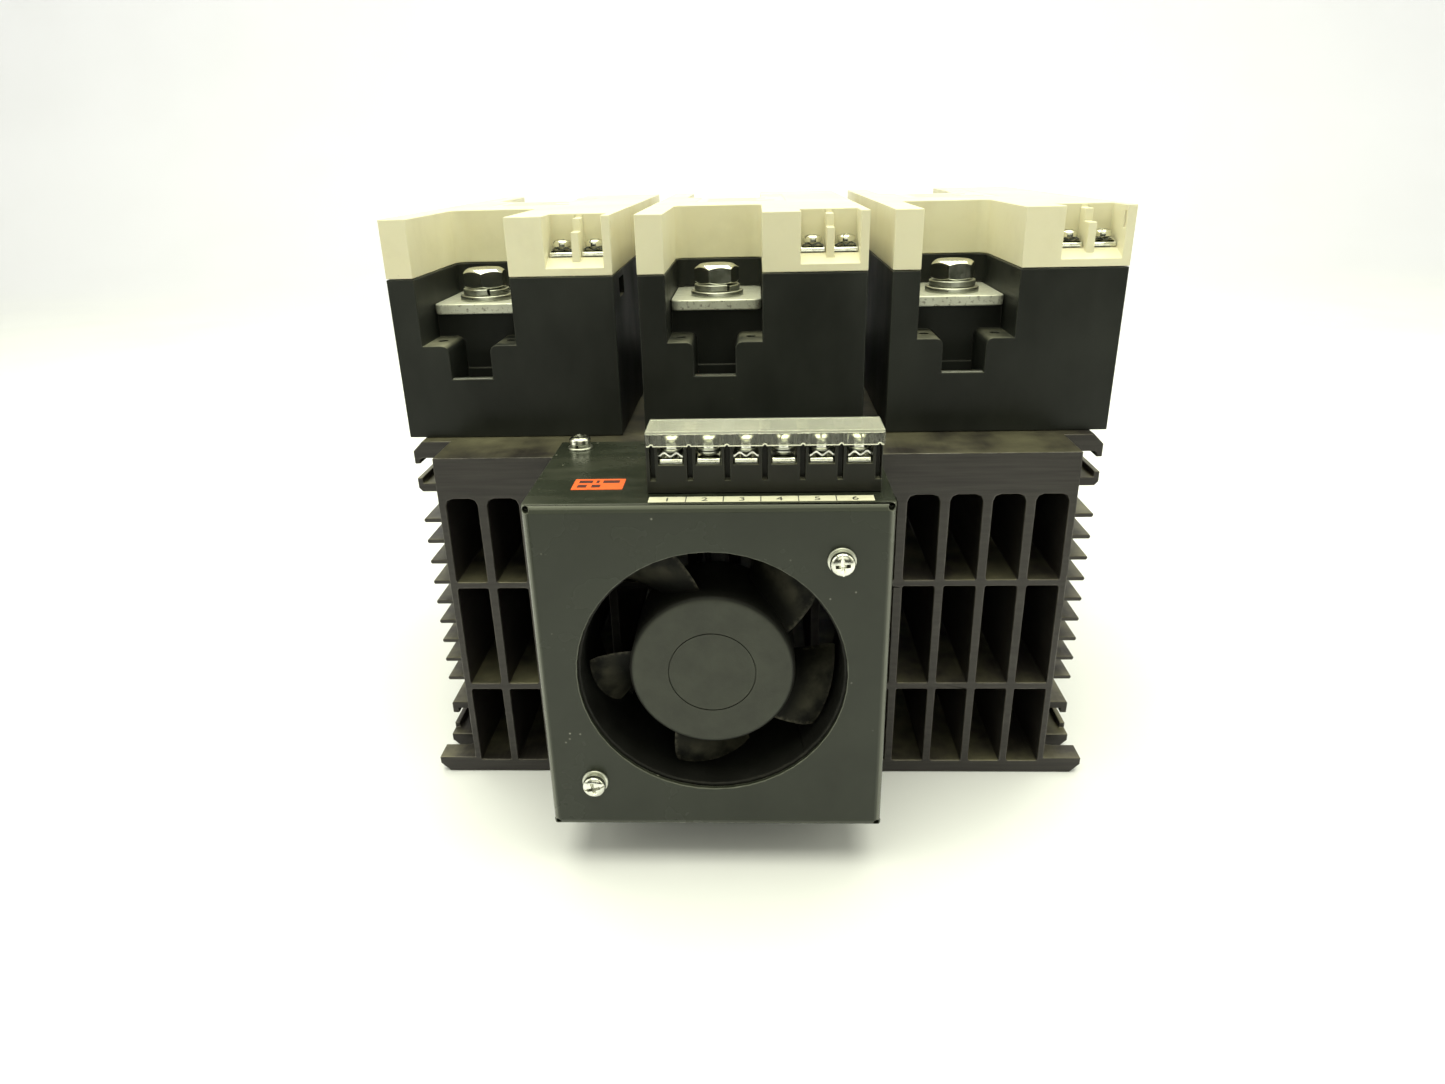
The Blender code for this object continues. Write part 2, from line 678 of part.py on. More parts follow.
def blade(turn):
    """Make one twisted fan blade that starts inside the hub's wall."""
    shape = bmesh.new()
    stations = 5
    section = [(along, -1) for along in (-0.5, -0.17, 0.17, 0.5)]
    section += [(along, 1) for along in (0.5, 0.17, -0.17, -0.5)]
    rings = []
    for i in range(stations):
        share = i / (stations - 1)
        radius = 26.2 + (41.9 - 26.2) * share
        pitch = radians(46.0 - 17.0 * share)
        chord = 27.0 + 4.0 * share
        sweep = radians(9.0) * share
        ring = []
        for along, side in section:
            camber = 2.6 * (1.0 - 4.0 * along * along)
            thick = 0.75 * side * (1.0 - 0.5 * abs(along))
            across = along * chord * cos(pitch) + (camber + thick) * sin(pitch)
            depth = along * chord * sin(pitch) - (camber + thick) * cos(pitch)
            angle = turn + sweep + across / radius
            x = FAN_X + radius * cos(angle)
            z = FAN_Z + radius * sin(angle)
            ring.append(shape.verts.new((x, FAN_AXIS_Y - 0.2 + depth, z)))
        rings.append(ring)
    for low, high in zip(rings, rings[1:]):
        for i in range(8):
            j = (i + 1) % 8
            shape.faces.new((low[i], low[j], high[j], high[i]))
    for ring in (rings[0], rings[-1]):
        for i in range(3):
            shape.faces.new((ring[i], ring[i + 1], ring[6 - i], ring[7 - i]))
    return shape


def build_rotor(look):
    """Make the motor's outer rotor: a cup with five blades, on the fan's axis."""
    centre = (FAN_X, BOX_FRONT + 2.9, FAN_Z)
    axis_point = (FAN_X, FAN_AXIS_Y, FAN_Z)
    cup = [
        (0, 0.0, ""), (25.4, 0.0, ""), (27.0, 0.7, ""), (27.5, 2.2, ""), (27.5, 29.0, ""),
        (25.0, 29.0, ""), (25.0, 3.0, ""), (0, 3.0, ""),
    ]
    shape = turned(cup, "Y", centre, 40)
    rotor = add_object("fan_rotor", shape, look, origin=axis_point, smooth=35)
    for number in range(5):
        fuse(rotor, blade(radians(52.0 + 72.0 * number)))


def build_motor(stator_look, shaft_look):
    """Make the wound stator and the shaft inside the rotor."""
    start = (FAN_X, BOX_FRONT + 2.9, FAN_Z)
    axis_point = (FAN_X, FAN_AXIS_Y, FAN_Z)
    ring = [(2.6, 6.0, ""), (22.5, 6.0, ""), (22.5, 32.8, ""), (2.6, 32.8, "")]
    add_object("fan_stator", turned(ring, "Y", start, 28, closed=True), stator_look, smooth=35)
    pin = [(0, 3.3, ""), (2.2, 3.3, ""), (2.2, 30.0, ""), (0, 30.0, "")]
    add_object("fan_shaft", turned(pin, "Y", start, 14), shaft_look, origin=axis_point, smooth=35)


def pan_screw(name, axis, centre, length, look):
    """Make a pan head screw with a spring washer and a plain washer; it points against the axis."""
    profile = [
        (0, -length, ""), (1.8, -length, ""), (1.8, 0.3, ""), (4.5, 0.3, ""), (4.5, 1.1, ""),
        (3.7, 1.1, ""), (3.7, 2.1, ""), (3.9, 2.1, ""), (3.9, 3.5, ""), (3.1, 4.4, ""), (0, 4.7, ""),
    ]
    if axis == "-Y":
        profile = [(radius, -height, kind) for radius, height, kind in profile]
        axis = "Y"
    add_object(name, turned(profile, axis, centre, 12), look, smooth=35)


def build_screws(look):
    """Make the screws of the top plate and of the fan."""
    for side, (x, y) in zip(("left", "right"), PLATE_SCREWS):
        pan_screw(f"plate_screw_{side}", "Z", (x, y, PLATE_TOP), 11.0, look)
    for side, sign in (("lower", -1), ("upper", 1)):
        centre = (FAN_X + sign * FAN_HOLE, BOX_FRONT, FAN_Z + sign * FAN_HOLE)
        pan_screw(f"fan_screw_{side}", "-Y", centre, 42.0, look)


# ---------------------------------------------------------------- terminal strip


def build_strip(look, cover_look, terminal_look):
    """Make the six-pole barrier strip, its terminals and its clear cover."""
    body = boxes(((STRIP_X[0], STRIP_Y[0], STRIP_BOTTOM), (STRIP_X[1], STRIP_Y[1], STRIP_TOP)))
    strip = add_object("terminal_block", body, look)
    pockets = bmesh.new()
    grooves = bmesh.new()
    for number in range(7):
        middle = STRIP_FIRST + STRIP_PITCH * number
        for edge in STRIP_Y:
            add_box(grooves, (middle - 0.85, edge - 3.0, 142.4), (middle + 0.85, edge + 3.0, 160.0))
        if number < 6:
            cell = middle + STRIP_PITCH / 2
            low = (cell - 4.0, STRIP_Y[0] - 3.0, STRIP_FLOOR)
            high = (cell + 4.0, STRIP_Y[1] + 3.0, 162.0)
            add_box(pockets, low, high)
            strip_terminal(f"strip_terminal_{number + 1}", cell, terminal_look)
    cut(strip, pockets)
    cut(strip, grooves)
    build_strip_cover(cover_look)


def strip_terminal(name, x, look):
    """Make one terminal: a plate with its clamp screw."""
    low = STRIP_FLOOR + GAP
    plate = add_object(name, boxes(((x - 3.4, -45.2, low), (x + 3.4, -33.2, low + 1.4))), look)
    clamp = [
        (0, 0.9, ""), (3.6, 0.9, ""), (3.6, 4.2, ""), (3.2, 4.2, ""), (3.2, 7.4, ""),
        (2.5, 8.3, ""), (0, 8.6, ""),
    ]
    fuse(plate, turned(clamp, "Z", (x, -40.8, low), 12))


def build_strip_cover(look):
    """Make the clear snap-on cover, with a small notch over each barrier in its front lip."""
    low = (STRIP_X[0] + 0.3, STRIP_Y[0] - 1.1, 153.6)
    high = (STRIP_X[1] + 0.3, STRIP_Y[1] + 0.3, 158.5)
    lip = 0.8
    centre = ((low[0] + high[0]) / 2, (low[1] + high[1]) / 2, low[2])
    cover = add_object("terminal_cover", boxes((low, high)), look, origin=centre)
    inner_low = (low[0] - 2.0, low[1] + lip, low[2] - 4.0)
    inner_high = (high[0] + 2.0, high[1] + 2.0, STRIP_TOP + GAP)
    cut(cover, boxes((inner_low, inner_high)))
    notches = bmesh.new()
    for number in range(7):
        middle = STRIP_FIRST + STRIP_PITCH * number
        add_prism(notches, circle(middle, low[2], 0.5, 8), "Y", low[1] - 1.0, low[1] + lip + 0.2)
    cut(cover, notches)


def build_thermostat(look):
    """Make the over-temperature switch on the heat sink's front face, inside the fan box."""
    switch = add_object("thermostat", boxes(((22.0, -7.5, 123.0), (38.0, -GAP, 134.0))), look)
    fuse(switch, prism(circle(30.0, 128.5, 4.2, 16), "Y", -10.0, -7.0))


def lead(name, points, look):
    """Run a lead along a smooth path with a round section."""
    curve = bpy.data.curves.new(name, "CURVE")
    curve.dimensions = "3D"
    curve.resolution_u = 4
    curve.bevel_depth = 1.1 * MM
    curve.bevel_resolution = 1
    curve.use_fill_caps = True
    spline = curve.splines.new("BEZIER")
    spline.bezier_points.add(len(points) - 1)
    for knot, point in zip(spline.bezier_points, points):
        knot.co = place(*point)
        knot.handle_left_type = "AUTO"
        knot.handle_right_type = "AUTO"
    curve.materials.append(look)
    obj = bpy.data.objects.new(name, curve)
    bpy.context.collection.objects.link(obj)


def build_leads(look):
    """Run the fan's lead and the thermostat's lead to the rear side of the terminal strip."""
    (fan_x, fan_y), (switch_x, switch_y) = lead_holes()
    first = STRIP_FIRST + STRIP_PITCH / 2
    last = first + 5 * STRIP_PITCH
    lead("fan_lead", [
        (FAN_X, -13.6, FAN_Z + 6.0), (FAN_X - 3.0, -12.0, 105.0), (fan_x, fan_y, 130.0),
        (fan_x, fan_y, 141.0), (first, -25.0, 148.0), (first, -31.6, 149.4),
    ], look)
    lead("thermostat_lead", [
        (switch_x - 2.0, -11.6, 129.0), (switch_x - 1.0, -14.0, 133.0), (switch_x, switch_y, 141.0),
        (last, -25.0, 148.0), (last, -31.6, 149.4),
    ], look)


def make_looks():
    """Make the material of every kind of piece."""
    return {
        "sink": make_look("anodised_aluminium", (0.055, 0.048, 0.043), 0.42, 0.6),
        "base": make_look("black_plastic", (0.018, 0.019, 0.016), 0.5),
        "cover": make_look("beige_plastic", (0.68, 0.64, 0.42), 0.45),
        "tin": make_look("tinned_copper", (0.62, 0.62, 0.56), 0.35, 0.9),
        "zinc": make_look("zinc_plated_steel", (0.62, 0.62, 0.55), 0.25, 1.0),
        "power": make_look("power_block_plastic", (0.03, 0.03, 0.03), 0.5),
        "board": make_look("circuit_board", (0.03, 0.16, 0.06), 0.5),
        "sheet": make_look("painted_sheet", (0.045, 0.048, 0.038), 0.35),
        "frame": make_look("fan_frame", (0.012, 0.012, 0.011), 0.5),
        "rotor": make_look("fan_rotor_plastic", (0.04, 0.043, 0.034), 0.55),
        "stator": make_look("stator_steel", (0.3, 0.3, 0.3), 0.4, 0.8),
        "shaft": make_look("shaft_steel", (0.5, 0.5, 0.5), 0.25, 1.0),
        "strip": make_look("strip_plastic", (0.016, 0.016, 0.014), 0.45),
        "clear": make_look("clear_plastic", (0.8, 0.8, 0.66), 0.15),
        "switch": make_look("thermostat_case", (0.05, 0.045, 0.04), 0.4),
        "wire": make_look("lead_insulation", (0.02, 0.02, 0.02), 0.5),
    }


def main():
    """Build the whole relay."""
    start_clean()
    looks = make_looks()
    build_heat_sink(looks["sink"])
    for side, centre in zip(MODULE_NAMES, MODULE_CENTRES):
        build_module(side, centre, looks)
    build_fan_cover(looks["sheet"])
    build_fan_housing(looks["frame"])
    build_rotor(looks["rotor"])
    build_motor(looks["stator"], looks["shaft"])
    build_screws(looks["zinc"])
    build_strip(looks["strip"], looks["clear"], looks["zinc"])
    build_thermostat(looks["switch"])
    build_leads(looks["wire"])


main()
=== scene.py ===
"""Looks, small parts and studio for the three-phase solid state relay, built round its CAD frame."""

import json
from math import cos, pi, radians, sin, tan

import bmesh
import bpy
from mathutils import Matrix, Vector


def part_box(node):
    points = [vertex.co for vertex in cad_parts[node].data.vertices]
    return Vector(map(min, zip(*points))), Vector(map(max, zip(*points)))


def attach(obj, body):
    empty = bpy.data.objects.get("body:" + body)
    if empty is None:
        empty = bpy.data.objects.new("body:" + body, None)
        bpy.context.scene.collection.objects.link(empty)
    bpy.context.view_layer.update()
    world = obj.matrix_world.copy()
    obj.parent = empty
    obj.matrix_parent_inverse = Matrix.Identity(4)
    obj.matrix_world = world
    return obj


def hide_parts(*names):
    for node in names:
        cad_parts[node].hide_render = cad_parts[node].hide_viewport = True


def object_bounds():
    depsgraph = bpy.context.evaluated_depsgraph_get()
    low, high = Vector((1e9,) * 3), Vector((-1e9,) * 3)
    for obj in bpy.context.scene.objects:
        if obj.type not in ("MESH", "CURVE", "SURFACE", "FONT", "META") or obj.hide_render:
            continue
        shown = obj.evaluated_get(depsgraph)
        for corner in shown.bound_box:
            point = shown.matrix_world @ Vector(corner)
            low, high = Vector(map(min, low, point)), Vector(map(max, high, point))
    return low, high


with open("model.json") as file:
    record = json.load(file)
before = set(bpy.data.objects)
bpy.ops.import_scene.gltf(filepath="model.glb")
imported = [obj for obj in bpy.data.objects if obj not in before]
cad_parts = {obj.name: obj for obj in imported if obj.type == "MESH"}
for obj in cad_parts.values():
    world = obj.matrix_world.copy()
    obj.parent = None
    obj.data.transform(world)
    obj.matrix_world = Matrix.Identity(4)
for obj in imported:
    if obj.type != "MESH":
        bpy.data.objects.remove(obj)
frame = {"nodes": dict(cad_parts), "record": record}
CAD_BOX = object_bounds()

MM = 0.001
SIDES = ("left", "middle", "right")
ENDS = ("line", "load")
POLES = 6
POLE_PITCH = 11.58 * MM
BLADES = 5
UNIT = "unit"
WHEEL = "fan_wheel"
LID = "strip_cover"
LAMP_TINT = (0.98, 1.0, 0.76)
FLOOR_FRONT = -0.7


# ---------------------------------------------------------------- materials


class Look:
    """One procedural material under construction."""

    def __init__(self, name, colour, roughness, metallic=0.0, gloss=0.5):
        self.material = bpy.data.materials.new(name)
        self.material.use_nodes = True
        self.tree = self.material.node_tree
        self.shader = self.tree.nodes["Principled BSDF"]
        self.place = self.add("ShaderNodeTexCoord").outputs["Object"]
        self.normal = None
        self.colour = (*colour, 1.0)
        self.shader.inputs["Base Color"].default_value = self.colour
        self.shader.inputs["Roughness"].default_value = roughness
        self.shader.inputs["Metallic"].default_value = metallic
        self.shader.inputs["Specular IOR Level"].default_value = gloss

    def add(self, kind, inputs=None, **settings):
        """Add a node; inputs are numbers, colours or sockets."""
        node = self.tree.nodes.new(kind)
        for key, value in settings.items():
            setattr(node, key, value)
        for key, value in (inputs or {}).items():
            self.feed(node.inputs[key], value)
        return node

    def feed(self, socket, value):
        """Link a socket, or set its value."""
        if isinstance(value, bpy.types.NodeSocket):
            self.tree.links.new(value, socket)
        else:
            socket.default_value = value

    def noise(self, scale, detail=3.0, stretch=(1.0, 1.0, 1.0), roughness=0.55):
        """Return noise of a scale per metre, stretched along each axis."""
        place = self.place
        if stretch != (1.0, 1.0, 1.0):
            place = self.add("ShaderNodeMapping", {"Vector": place, "Scale": stretch}).outputs[0]
        settings = {"Vector": place, "Scale": scale, "Detail": detail, "Roughness": roughness}
        return self.add("ShaderNodeTexNoise", settings).outputs["Fac"]

    def spots(self, scale, low, high):
        """Return scattered round spots, 1 in the middle of each."""
        cells = self.add("ShaderNodeTexVoronoi", {"Vector": self.place, "Scale": scale})
        return self.band(cells.outputs["Distance"], high, low)

    def band(self, value, low, high, start=0.0, stop=1.0):
        """Map a value from low..high to start..stop, and clamp it."""
        inputs = {0: value, 1: low, 2: high, 3: start, 4: stop}
        return self.add("ShaderNodeMapRange", inputs).outputs[0]

    def maths(self, operation, a, b):
        """Combine two numbers."""
        return self.add("ShaderNodeMath", {0: a, 1: b}, operation=operation).outputs[0]

    def mix(self, share, a, b):
        """Mix two colours."""
        def full(colour):
            if isinstance(colour, bpy.types.NodeSocket):
                return colour
            return (*colour[:3], 1.0)

        inputs = {0: share, 6: full(a), 7: full(b)}
        return self.add("ShaderNodeMix", inputs, data_type="RGBA").outputs[2]

    def facing(self, axis):
        """Return how far the surface faces an axis, from -1 to 1."""
        normal = self.add("ShaderNodeNewGeometry").outputs["Normal"]
        return self.add("ShaderNodeSeparateXYZ", {0: normal}).outputs[axis]

    def height(self, axis):
        """Return one coordinate of the point, in metres."""
        return self.add("ShaderNodeSeparateXYZ", {0: self.place}).outputs[axis]

    def from_axis(self):
        """Return how far the point is from the piece's Z axis, in metres."""
        inputs = {0: self.place, 1: (1.0, 1.0, 0.0)}
        flat = self.add("ShaderNodeVectorMath", inputs, operation="MULTIPLY").outputs[0]
        return self.add("ShaderNodeVectorMath", {0: flat}, operation="LENGTH").outputs["Value"]

    def edges(self, radius, low=0.02, high=0.16):
        """Return 1 on sharp edges and 0 on flat faces."""
        soft = self.add("ShaderNodeBevel", {"Radius": radius}, samples=4).outputs[0]
        hard = self.add("ShaderNodeNewGeometry").outputs["Normal"]
        dot = self.add("ShaderNodeVectorMath", {0: soft, 1: hard}, operation="DOT_PRODUCT")
        return self.band(dot.outputs["Value"], 1.0 - low, 1.0 - high)

    def bump(self, height, distance, strength=1.0):
        """Add one layer of relief."""
        inputs = {"Height": height, "Distance": distance, "Strength": strength}
        if self.normal is not None:
            inputs["Normal"] = self.normal
        self.normal = self.add("ShaderNodeBump", inputs).outputs[0]

    def finish(self, colour=None, roughness=None):
        """Link the finished colour, roughness and relief to the shader."""
        if colour is not None:
            self.feed(self.shader.inputs["Base Color"], colour)
        if roughness is not None:
            self.feed(self.shader.inputs["Roughness"], roughness)
        if self.normal is not None:
            self.feed(self.shader.inputs["Normal"], self.normal)
        return self.material


def dusty(look, colour, dust, amount):
    """Lay dust on faces that look up, in patches."""
    up = look.band(look.facing(2), 0.55, 0.95, 0.0, amount)
    patches = look.band(look.noise(38.0, 4.0), 0.38, 0.72)
    return look.mix(look.maths("MULTIPLY", up, patches), colour, dust)


def anodised():
    """Brown-black anodised extrusion: streaks along its length, pale rubbed edges."""
    look = Look("anodised_extrusion", (0.045, 0.039, 0.036), 0.4, 0.55)
    streaks = look.noise(900.0, 2.0, (1.0, 0.012, 1.0))
    cloud = look.noise(14.0, 3.0)
    tint = look.mix(look.band(cloud, 0.3, 0.7), (0.034, 0.030, 0.027), (0.056, 0.048, 0.045))
    tint = look.mix(look.band(streaks, 0.35, 0.75, 0.0, 0.45), tint, (0.085, 0.076, 0.068))
    end = look.band(look.facing(1), -0.95, -0.8, 1.0, 0.0)
    grain = look.noise(700.0, 2.0, (0.05, 1.0, 1.0))
    sawn = look.mix(look.band(grain, 0.3, 0.7), (0.032, 0.029, 0.029), (0.047, 0.043, 0.041))
    tint = look.mix(end, tint, sawn)
    tint = dusty(look, tint, (0.30, 0.28, 0.18), 0.85)
    edge_wear_and_highlight = look.maths("MULTIPLY", look.edges(0.0007), look.band(look.noise(160.0), 0.36, 0.6))
    tint = look.mix(look.maths("MULTIPLY", edge_wear_and_highlight, 0.6), tint, (0.34, 0.32, 0.30))
    look.bump(streaks, 0.00012, 0.25)
    look.bump(look.noise(2600.0, 2.0), 0.00008, 0.2)
    rough = look.band(cloud, 0.25, 0.75, 0.30, 0.46)
    return look.finish(tint, rough)


def black_moulding(name="black_moulding", base=(0.0105, 0.0115, 0.0105), rough=(0.34, 0.52)):
    """Black plastic with a fine moulded grain, handling marks, a little dust and a painted highlight on its
    sharp edges.
    """
    look = Look(name, base, 0.45, gloss=0.24)
    marks = look.noise(42.0, 5.0, (1.0, 1.0, 0.6))
    tint = look.mix(look.band(marks, 0.35, 0.75), base, [c * 1.9 for c in base])
    tint = dusty(look, tint, (0.26, 0.255, 0.19), 1.0)
    # painted highlight: every sharp edge is made a little lighter all along, for the light the edges catch
    edge_wear_and_highlight = look.maths("MULTIPLY", look.edges(0.0005), 0.35)
    tint = look.mix(edge_wear_and_highlight, tint, (0.13, 0.135, 0.115))
    look.bump(look.noise(5200.0, 1.0), 0.00006, 0.35)
    look.bump(look.noise(60.0, 2.0), 0.0004, 0.08)
    return look.finish(tint, look.band(marks, 0.3, 0.7, *rough))


def beige_moulding():
    """Warm beige plastic, slightly yellowed and satin, with soft mould marks."""
    look = Look("beige_moulding", (0.66, 0.61, 0.40), 0.42)
    look.shader.inputs["Subsurface Weight"].default_value = 0.06
    look.shader.inputs["Subsurface Radius"].default_value = (0.002, 0.0014, 0.0006)
    cloud = look.noise(22.0, 3.0)
    tint = look.mix(look.band(cloud, 0.3, 0.7), (0.775, 0.735, 0.56), (0.73, 0.68, 0.50))
    specks = look.maths("MULTIPLY", look.spots(420.0, 0.02, 0.10), look.band(look.noise(90.0), 0.62, 0.7))
    tint = look.mix(look.maths("MULTIPLY", specks, 0.45), tint, (0.20, 0.17, 0.10))
    grime = look.maths("MULTIPLY", look.band(look.noise(75.0, 5.0), 0.52, 0.8), 0.16)
    tint = look.mix(grime, tint, (0.38, 0.33, 0.20))
    look.bump(look.noise(4200.0, 1.0), 0.00005, 0.3)
    return look.finish(tint, look.band(cloud, 0.3, 0.7, 0.36, 0.5))


def bright_zinc(name="bright_zinc", colour=(0.78, 0.78, 0.72), rough=(0.12, 0.26)):
    """Zinc-plated steel with a slightly uneven lustre."""
    look = Look(name, colour, 0.22, 1.0)
    cloud = look.noise(260.0, 4.0)
    dull = [c * 0.72 for c in colour]
    tint = look.mix(look.band(cloud, 0.4, 0.75), colour, dull)
    stain = look.maths("MULTIPLY", look.band(look.noise(900.0, 2.0), 0.6, 0.75), 0.35)
    tint = look.mix(stain, tint, (0.32, 0.30, 0.22))
    look.bump(look.noise(1500.0, 3.0), 0.00005, 0.12)
    return look.finish(tint, look.band(cloud, 0.3, 0.7, *rough))


def tinned_copper():
    """Satin tin plating with mottling, and darker pitted cut edges."""
    look = Look("tinned_copper", (0.74, 0.74, 0.66), 0.4, 0.45)
    cloud = look.noise(210.0, 5.0)
    tint = look.mix(look.band(cloud, 0.38, 0.7), (0.78, 0.79, 0.70), (0.62, 0.62, 0.54))
    side = look.band(look.facing(2), 0.75, 0.4)
    pits = look.maths("MULTIPLY", look.band(look.noise(650.0, 4.0), 0.55, 0.68), side)
    tint = look.mix(look.maths("MULTIPLY", pits, 0.75), tint, (0.20, 0.18, 0.15))
    brushed = look.noise(1500.0, 2.0, (1.0, 0.05, 1.0))
    look.bump(brushed, 0.00006, 0.2)
    look.bump(cloud, 0.0001, 0.2)
    return look.finish(tint, look.band(cloud, 0.3, 0.7, 0.3, 0.48))


def black_paint():
    """Semi-gloss black paint on steel sheet: specks, wiped dust, rubbed edges and a painted highlight along
    the folds.
    """
    look = Look("black_paint", (0.030, 0.033, 0.025), 0.34, gloss=0.32)
    cloud = look.noise(30.0, 4.0)
    tint = look.mix(look.band(cloud, 0.3, 0.7), (0.017, 0.020, 0.014), (0.026, 0.030, 0.022))
    wipes = look.band(look.noise(120.0, 4.0, (0.35, 1.0, 1.0)), 0.45, 0.75)
    up = look.band(look.facing(2), 0.6, 0.95)
    film = look.maths("MULTIPLY", look.maths("MULTIPLY", wipes, up), 0.10)
    tint = look.mix(film, tint, (0.20, 0.19, 0.15))
    specks = look.maths("MULTIPLY", look.spots(260.0, 0.03, 0.12), look.band(look.noise(70.0), 0.56, 0.62))
    tint = look.mix(look.maths("MULTIPLY", specks, 0.7), tint, (0.42, 0.41, 0.36))
    edge_wear_and_highlight = look.maths("MULTIPLY", look.edges(0.0006), look.band(look.noise(240.0), 0.4, 0.62))
    tint = look.mix(look.maths("MULTIPLY", edge_wear_and_highlight, 0.5), tint, (0.30, 0.31, 0.27))
    # painted highlight: a pale band where the normal turns between the front and the top or the sides,
    # along every fold
    front = look.maths("MULTIPLY", look.facing(1), look.facing(1))
    bend = look.maths("SUBTRACT", front, look.maths("MULTIPLY", front, front))
    tint = look.mix(look.maths("MULTIPLY", bend, 3.2), tint, (0.125, 0.130, 0.108))
    look.bump(look.noise(900.0, 2.0), 0.00006, 0.25)
    rough = look.maths("ADD", look.band(cloud, 0.3, 0.7, 0.20, 0.30), look.maths("MULTIPLY", film, 0.8))
    return look.finish(tint, rough)


def fan_plastic(name, base, dust_amount, gloss=0.3, lint_from=None, side=None):
    """Dark fan plastic: dust on its edges, lint past a radius, and sides in another colour, used as painted
    shade.
    """
    look = Look(name, base, 0.55, gloss=gloss)
    cloud = look.noise(95.0, 5.0)
    tint = look.mix(look.band(cloud, 0.35, 0.7), base, [c * 1.5 for c in base])
    lint = look.band(look.noise(420.0, 6.0, roughness=0.7), 0.45, 0.72)
    edge = look.maths("MULTIPLY", look.edges(0.0016, 0.01, 0.3), lint)
    tint = look.mix(look.maths("MULTIPLY", edge, dust_amount), tint, (0.24, 0.22, 0.17))
    # painted shade: every face that does not look to the front takes the side colour
    if side is not None:
        tint = look.mix(look.band(look.facing(1), -0.95, -0.75, 1.0, 0.0), side, tint)
    if lint_from is not None:
        outer = look.band(look.from_axis(), lint_from, lint_from + 0.006)
        patch = look.maths("MULTIPLY", outer, look.band(cloud, 0.4, 0.65))
        tint = look.mix(look.maths("MULTIPLY", patch, 0.5), tint, (0.085, 0.08, 0.058))
    look.bump(lint, 0.00015, 0.3)
    look.bump(look.noise(3000.0, 1.0), 0.00006, 0.3)
    return look.finish(tint, look.band(cloud, 0.3, 0.7, 0.5, 0.68))


def clear_plastic():
    """Clear moulding gone a little yellow, hazier on top where dust has settled."""
    look = Look("clear_yellowed", (0.90, 0.90, 0.80), 0.08)
    look.shader.inputs["IOR"].default_value = 1.46
    look.feed(look.shader.inputs["Transmission Weight"], look.band(look.facing(2), 0.5, 0.9, 0.96, 0.78))
    haze = look.noise(160.0, 4.0, (0.25, 1.0, 1.0))
    tint = look.mix(look.band(haze, 0.35, 0.7), (0.95, 0.95, 0.88), (0.88, 0.89, 0.78))
    look.bump(haze, 0.00005, 0.05)
    return look.finish(tint, look.band(haze, 0.3, 0.7, 0.14, 0.22))


def printed(name, colour, rough=0.45, grime=(0.35, 0.30, 0.20)):
    """Paper or film label with faint handling dirt."""
    look = Look(name, colour, rough)
    dirt = look.maths("MULTIPLY", look.band(look.noise(300.0, 5.0), 0.5, 0.8), 0.3)
    tint = look.mix(dirt, colour, grime)
    look.bump(look.noise(1800.0, 2.0), 0.00005, 0.2)
    return look.finish(tint)


def plain(name, colour, rough, metallic=0.0):
    """Simple finish with tone variation and a fine relief."""
    look = Look(name, colour, rough, metallic)
    cloud = look.noise(300.0, 4.0)
    tint = look.mix(look.band(cloud, 0.35, 0.7), colour, [c * 0.7 for c in colour])
    look.bump(cloud, 0.00008, 0.3)
    return look.finish(tint, look.band(cloud, 0.3, 0.7, rough * 0.85, min(1.0, rough * 1.2)))


def make_looks():
    """Make every material once."""
    return {
        "heat_sink": anodised(),
        "relay_base": black_moulding(),
        "relay_cover": beige_moulding(),
        "busbar": tinned_copper(),
        "hardware": bright_zinc(),
        "washer": bright_zinc("dull_zinc", (0.66, 0.67, 0.60), (0.26, 0.44)),
        "power_module": plain("epoxy_case", (0.03, 0.03, 0.03), 0.5),
        "control_board": plain("circuit_board", (0.03, 0.14, 0.06), 0.45),
        "fan_cover": black_paint(),
        "fan_frame": fan_plastic("fan_frame_plastic", (0.006, 0.006, 0.0055), 0.3, 0.2),
        # the hub's sides take a near-black colour as painted shade
        "fan_rotor": fan_plastic("fan_rotor_plastic", (0.034, 0.036, 0.030), 0.45,
                                 side=(0.006, 0.006, 0.005)),
        "fan_blade": fan_plastic("fan_blade_plastic", (0.0045, 0.0045, 0.0040), 0.4, 0.12, 0.031),
        "fan_stator": plain("stator_laminations", (0.3, 0.3, 0.3), 0.4, 0.8),
        "fan_shaft": plain("ground_steel", (0.5, 0.5, 0.5), 0.25, 1.0),
        "strip": black_moulding("strip_moulding", (0.012, 0.012, 0.010), (0.32, 0.46)),
        "strip_cover": clear_plastic(),
        "thermostat": plain("phenolic_case", (0.05, 0.045, 0.04), 0.4),
        "lead": plain("lead_insulation", (0.02, 0.02, 0.02), 0.5),
        "paper": printed("label_paper", (0.72, 0.70, 0.56)),
        "ink": printed("label_ink", (0.03, 0.03, 0.03), 0.5, (0.1, 0.1, 0.09)),
        "orange": printed("orange_label", (0.86, 0.13, 0.028), 0.4, (0.45, 0.08, 0.03)),
        "maroon": printed("orange_label_ink", (0.06, 0.01, 0.008), 0.5, (0.2, 0.03, 0.02)),
        "rating": printed("rating_label", (0.62, 0.61, 0.55), 0.3),
        "rating_ink": printed("rating_label_ink", (0.30, 0.30, 0.28), 0.4),
        # painted highlight for the clear cover's lip, as an opaque bright colour
        "lip": plain("painted_lip_highlight", (0.86, 0.86, 0.74), 0.2),
    }


LOOKS = make_looks()


# ---------------------------------------------------------------- mesh helpers


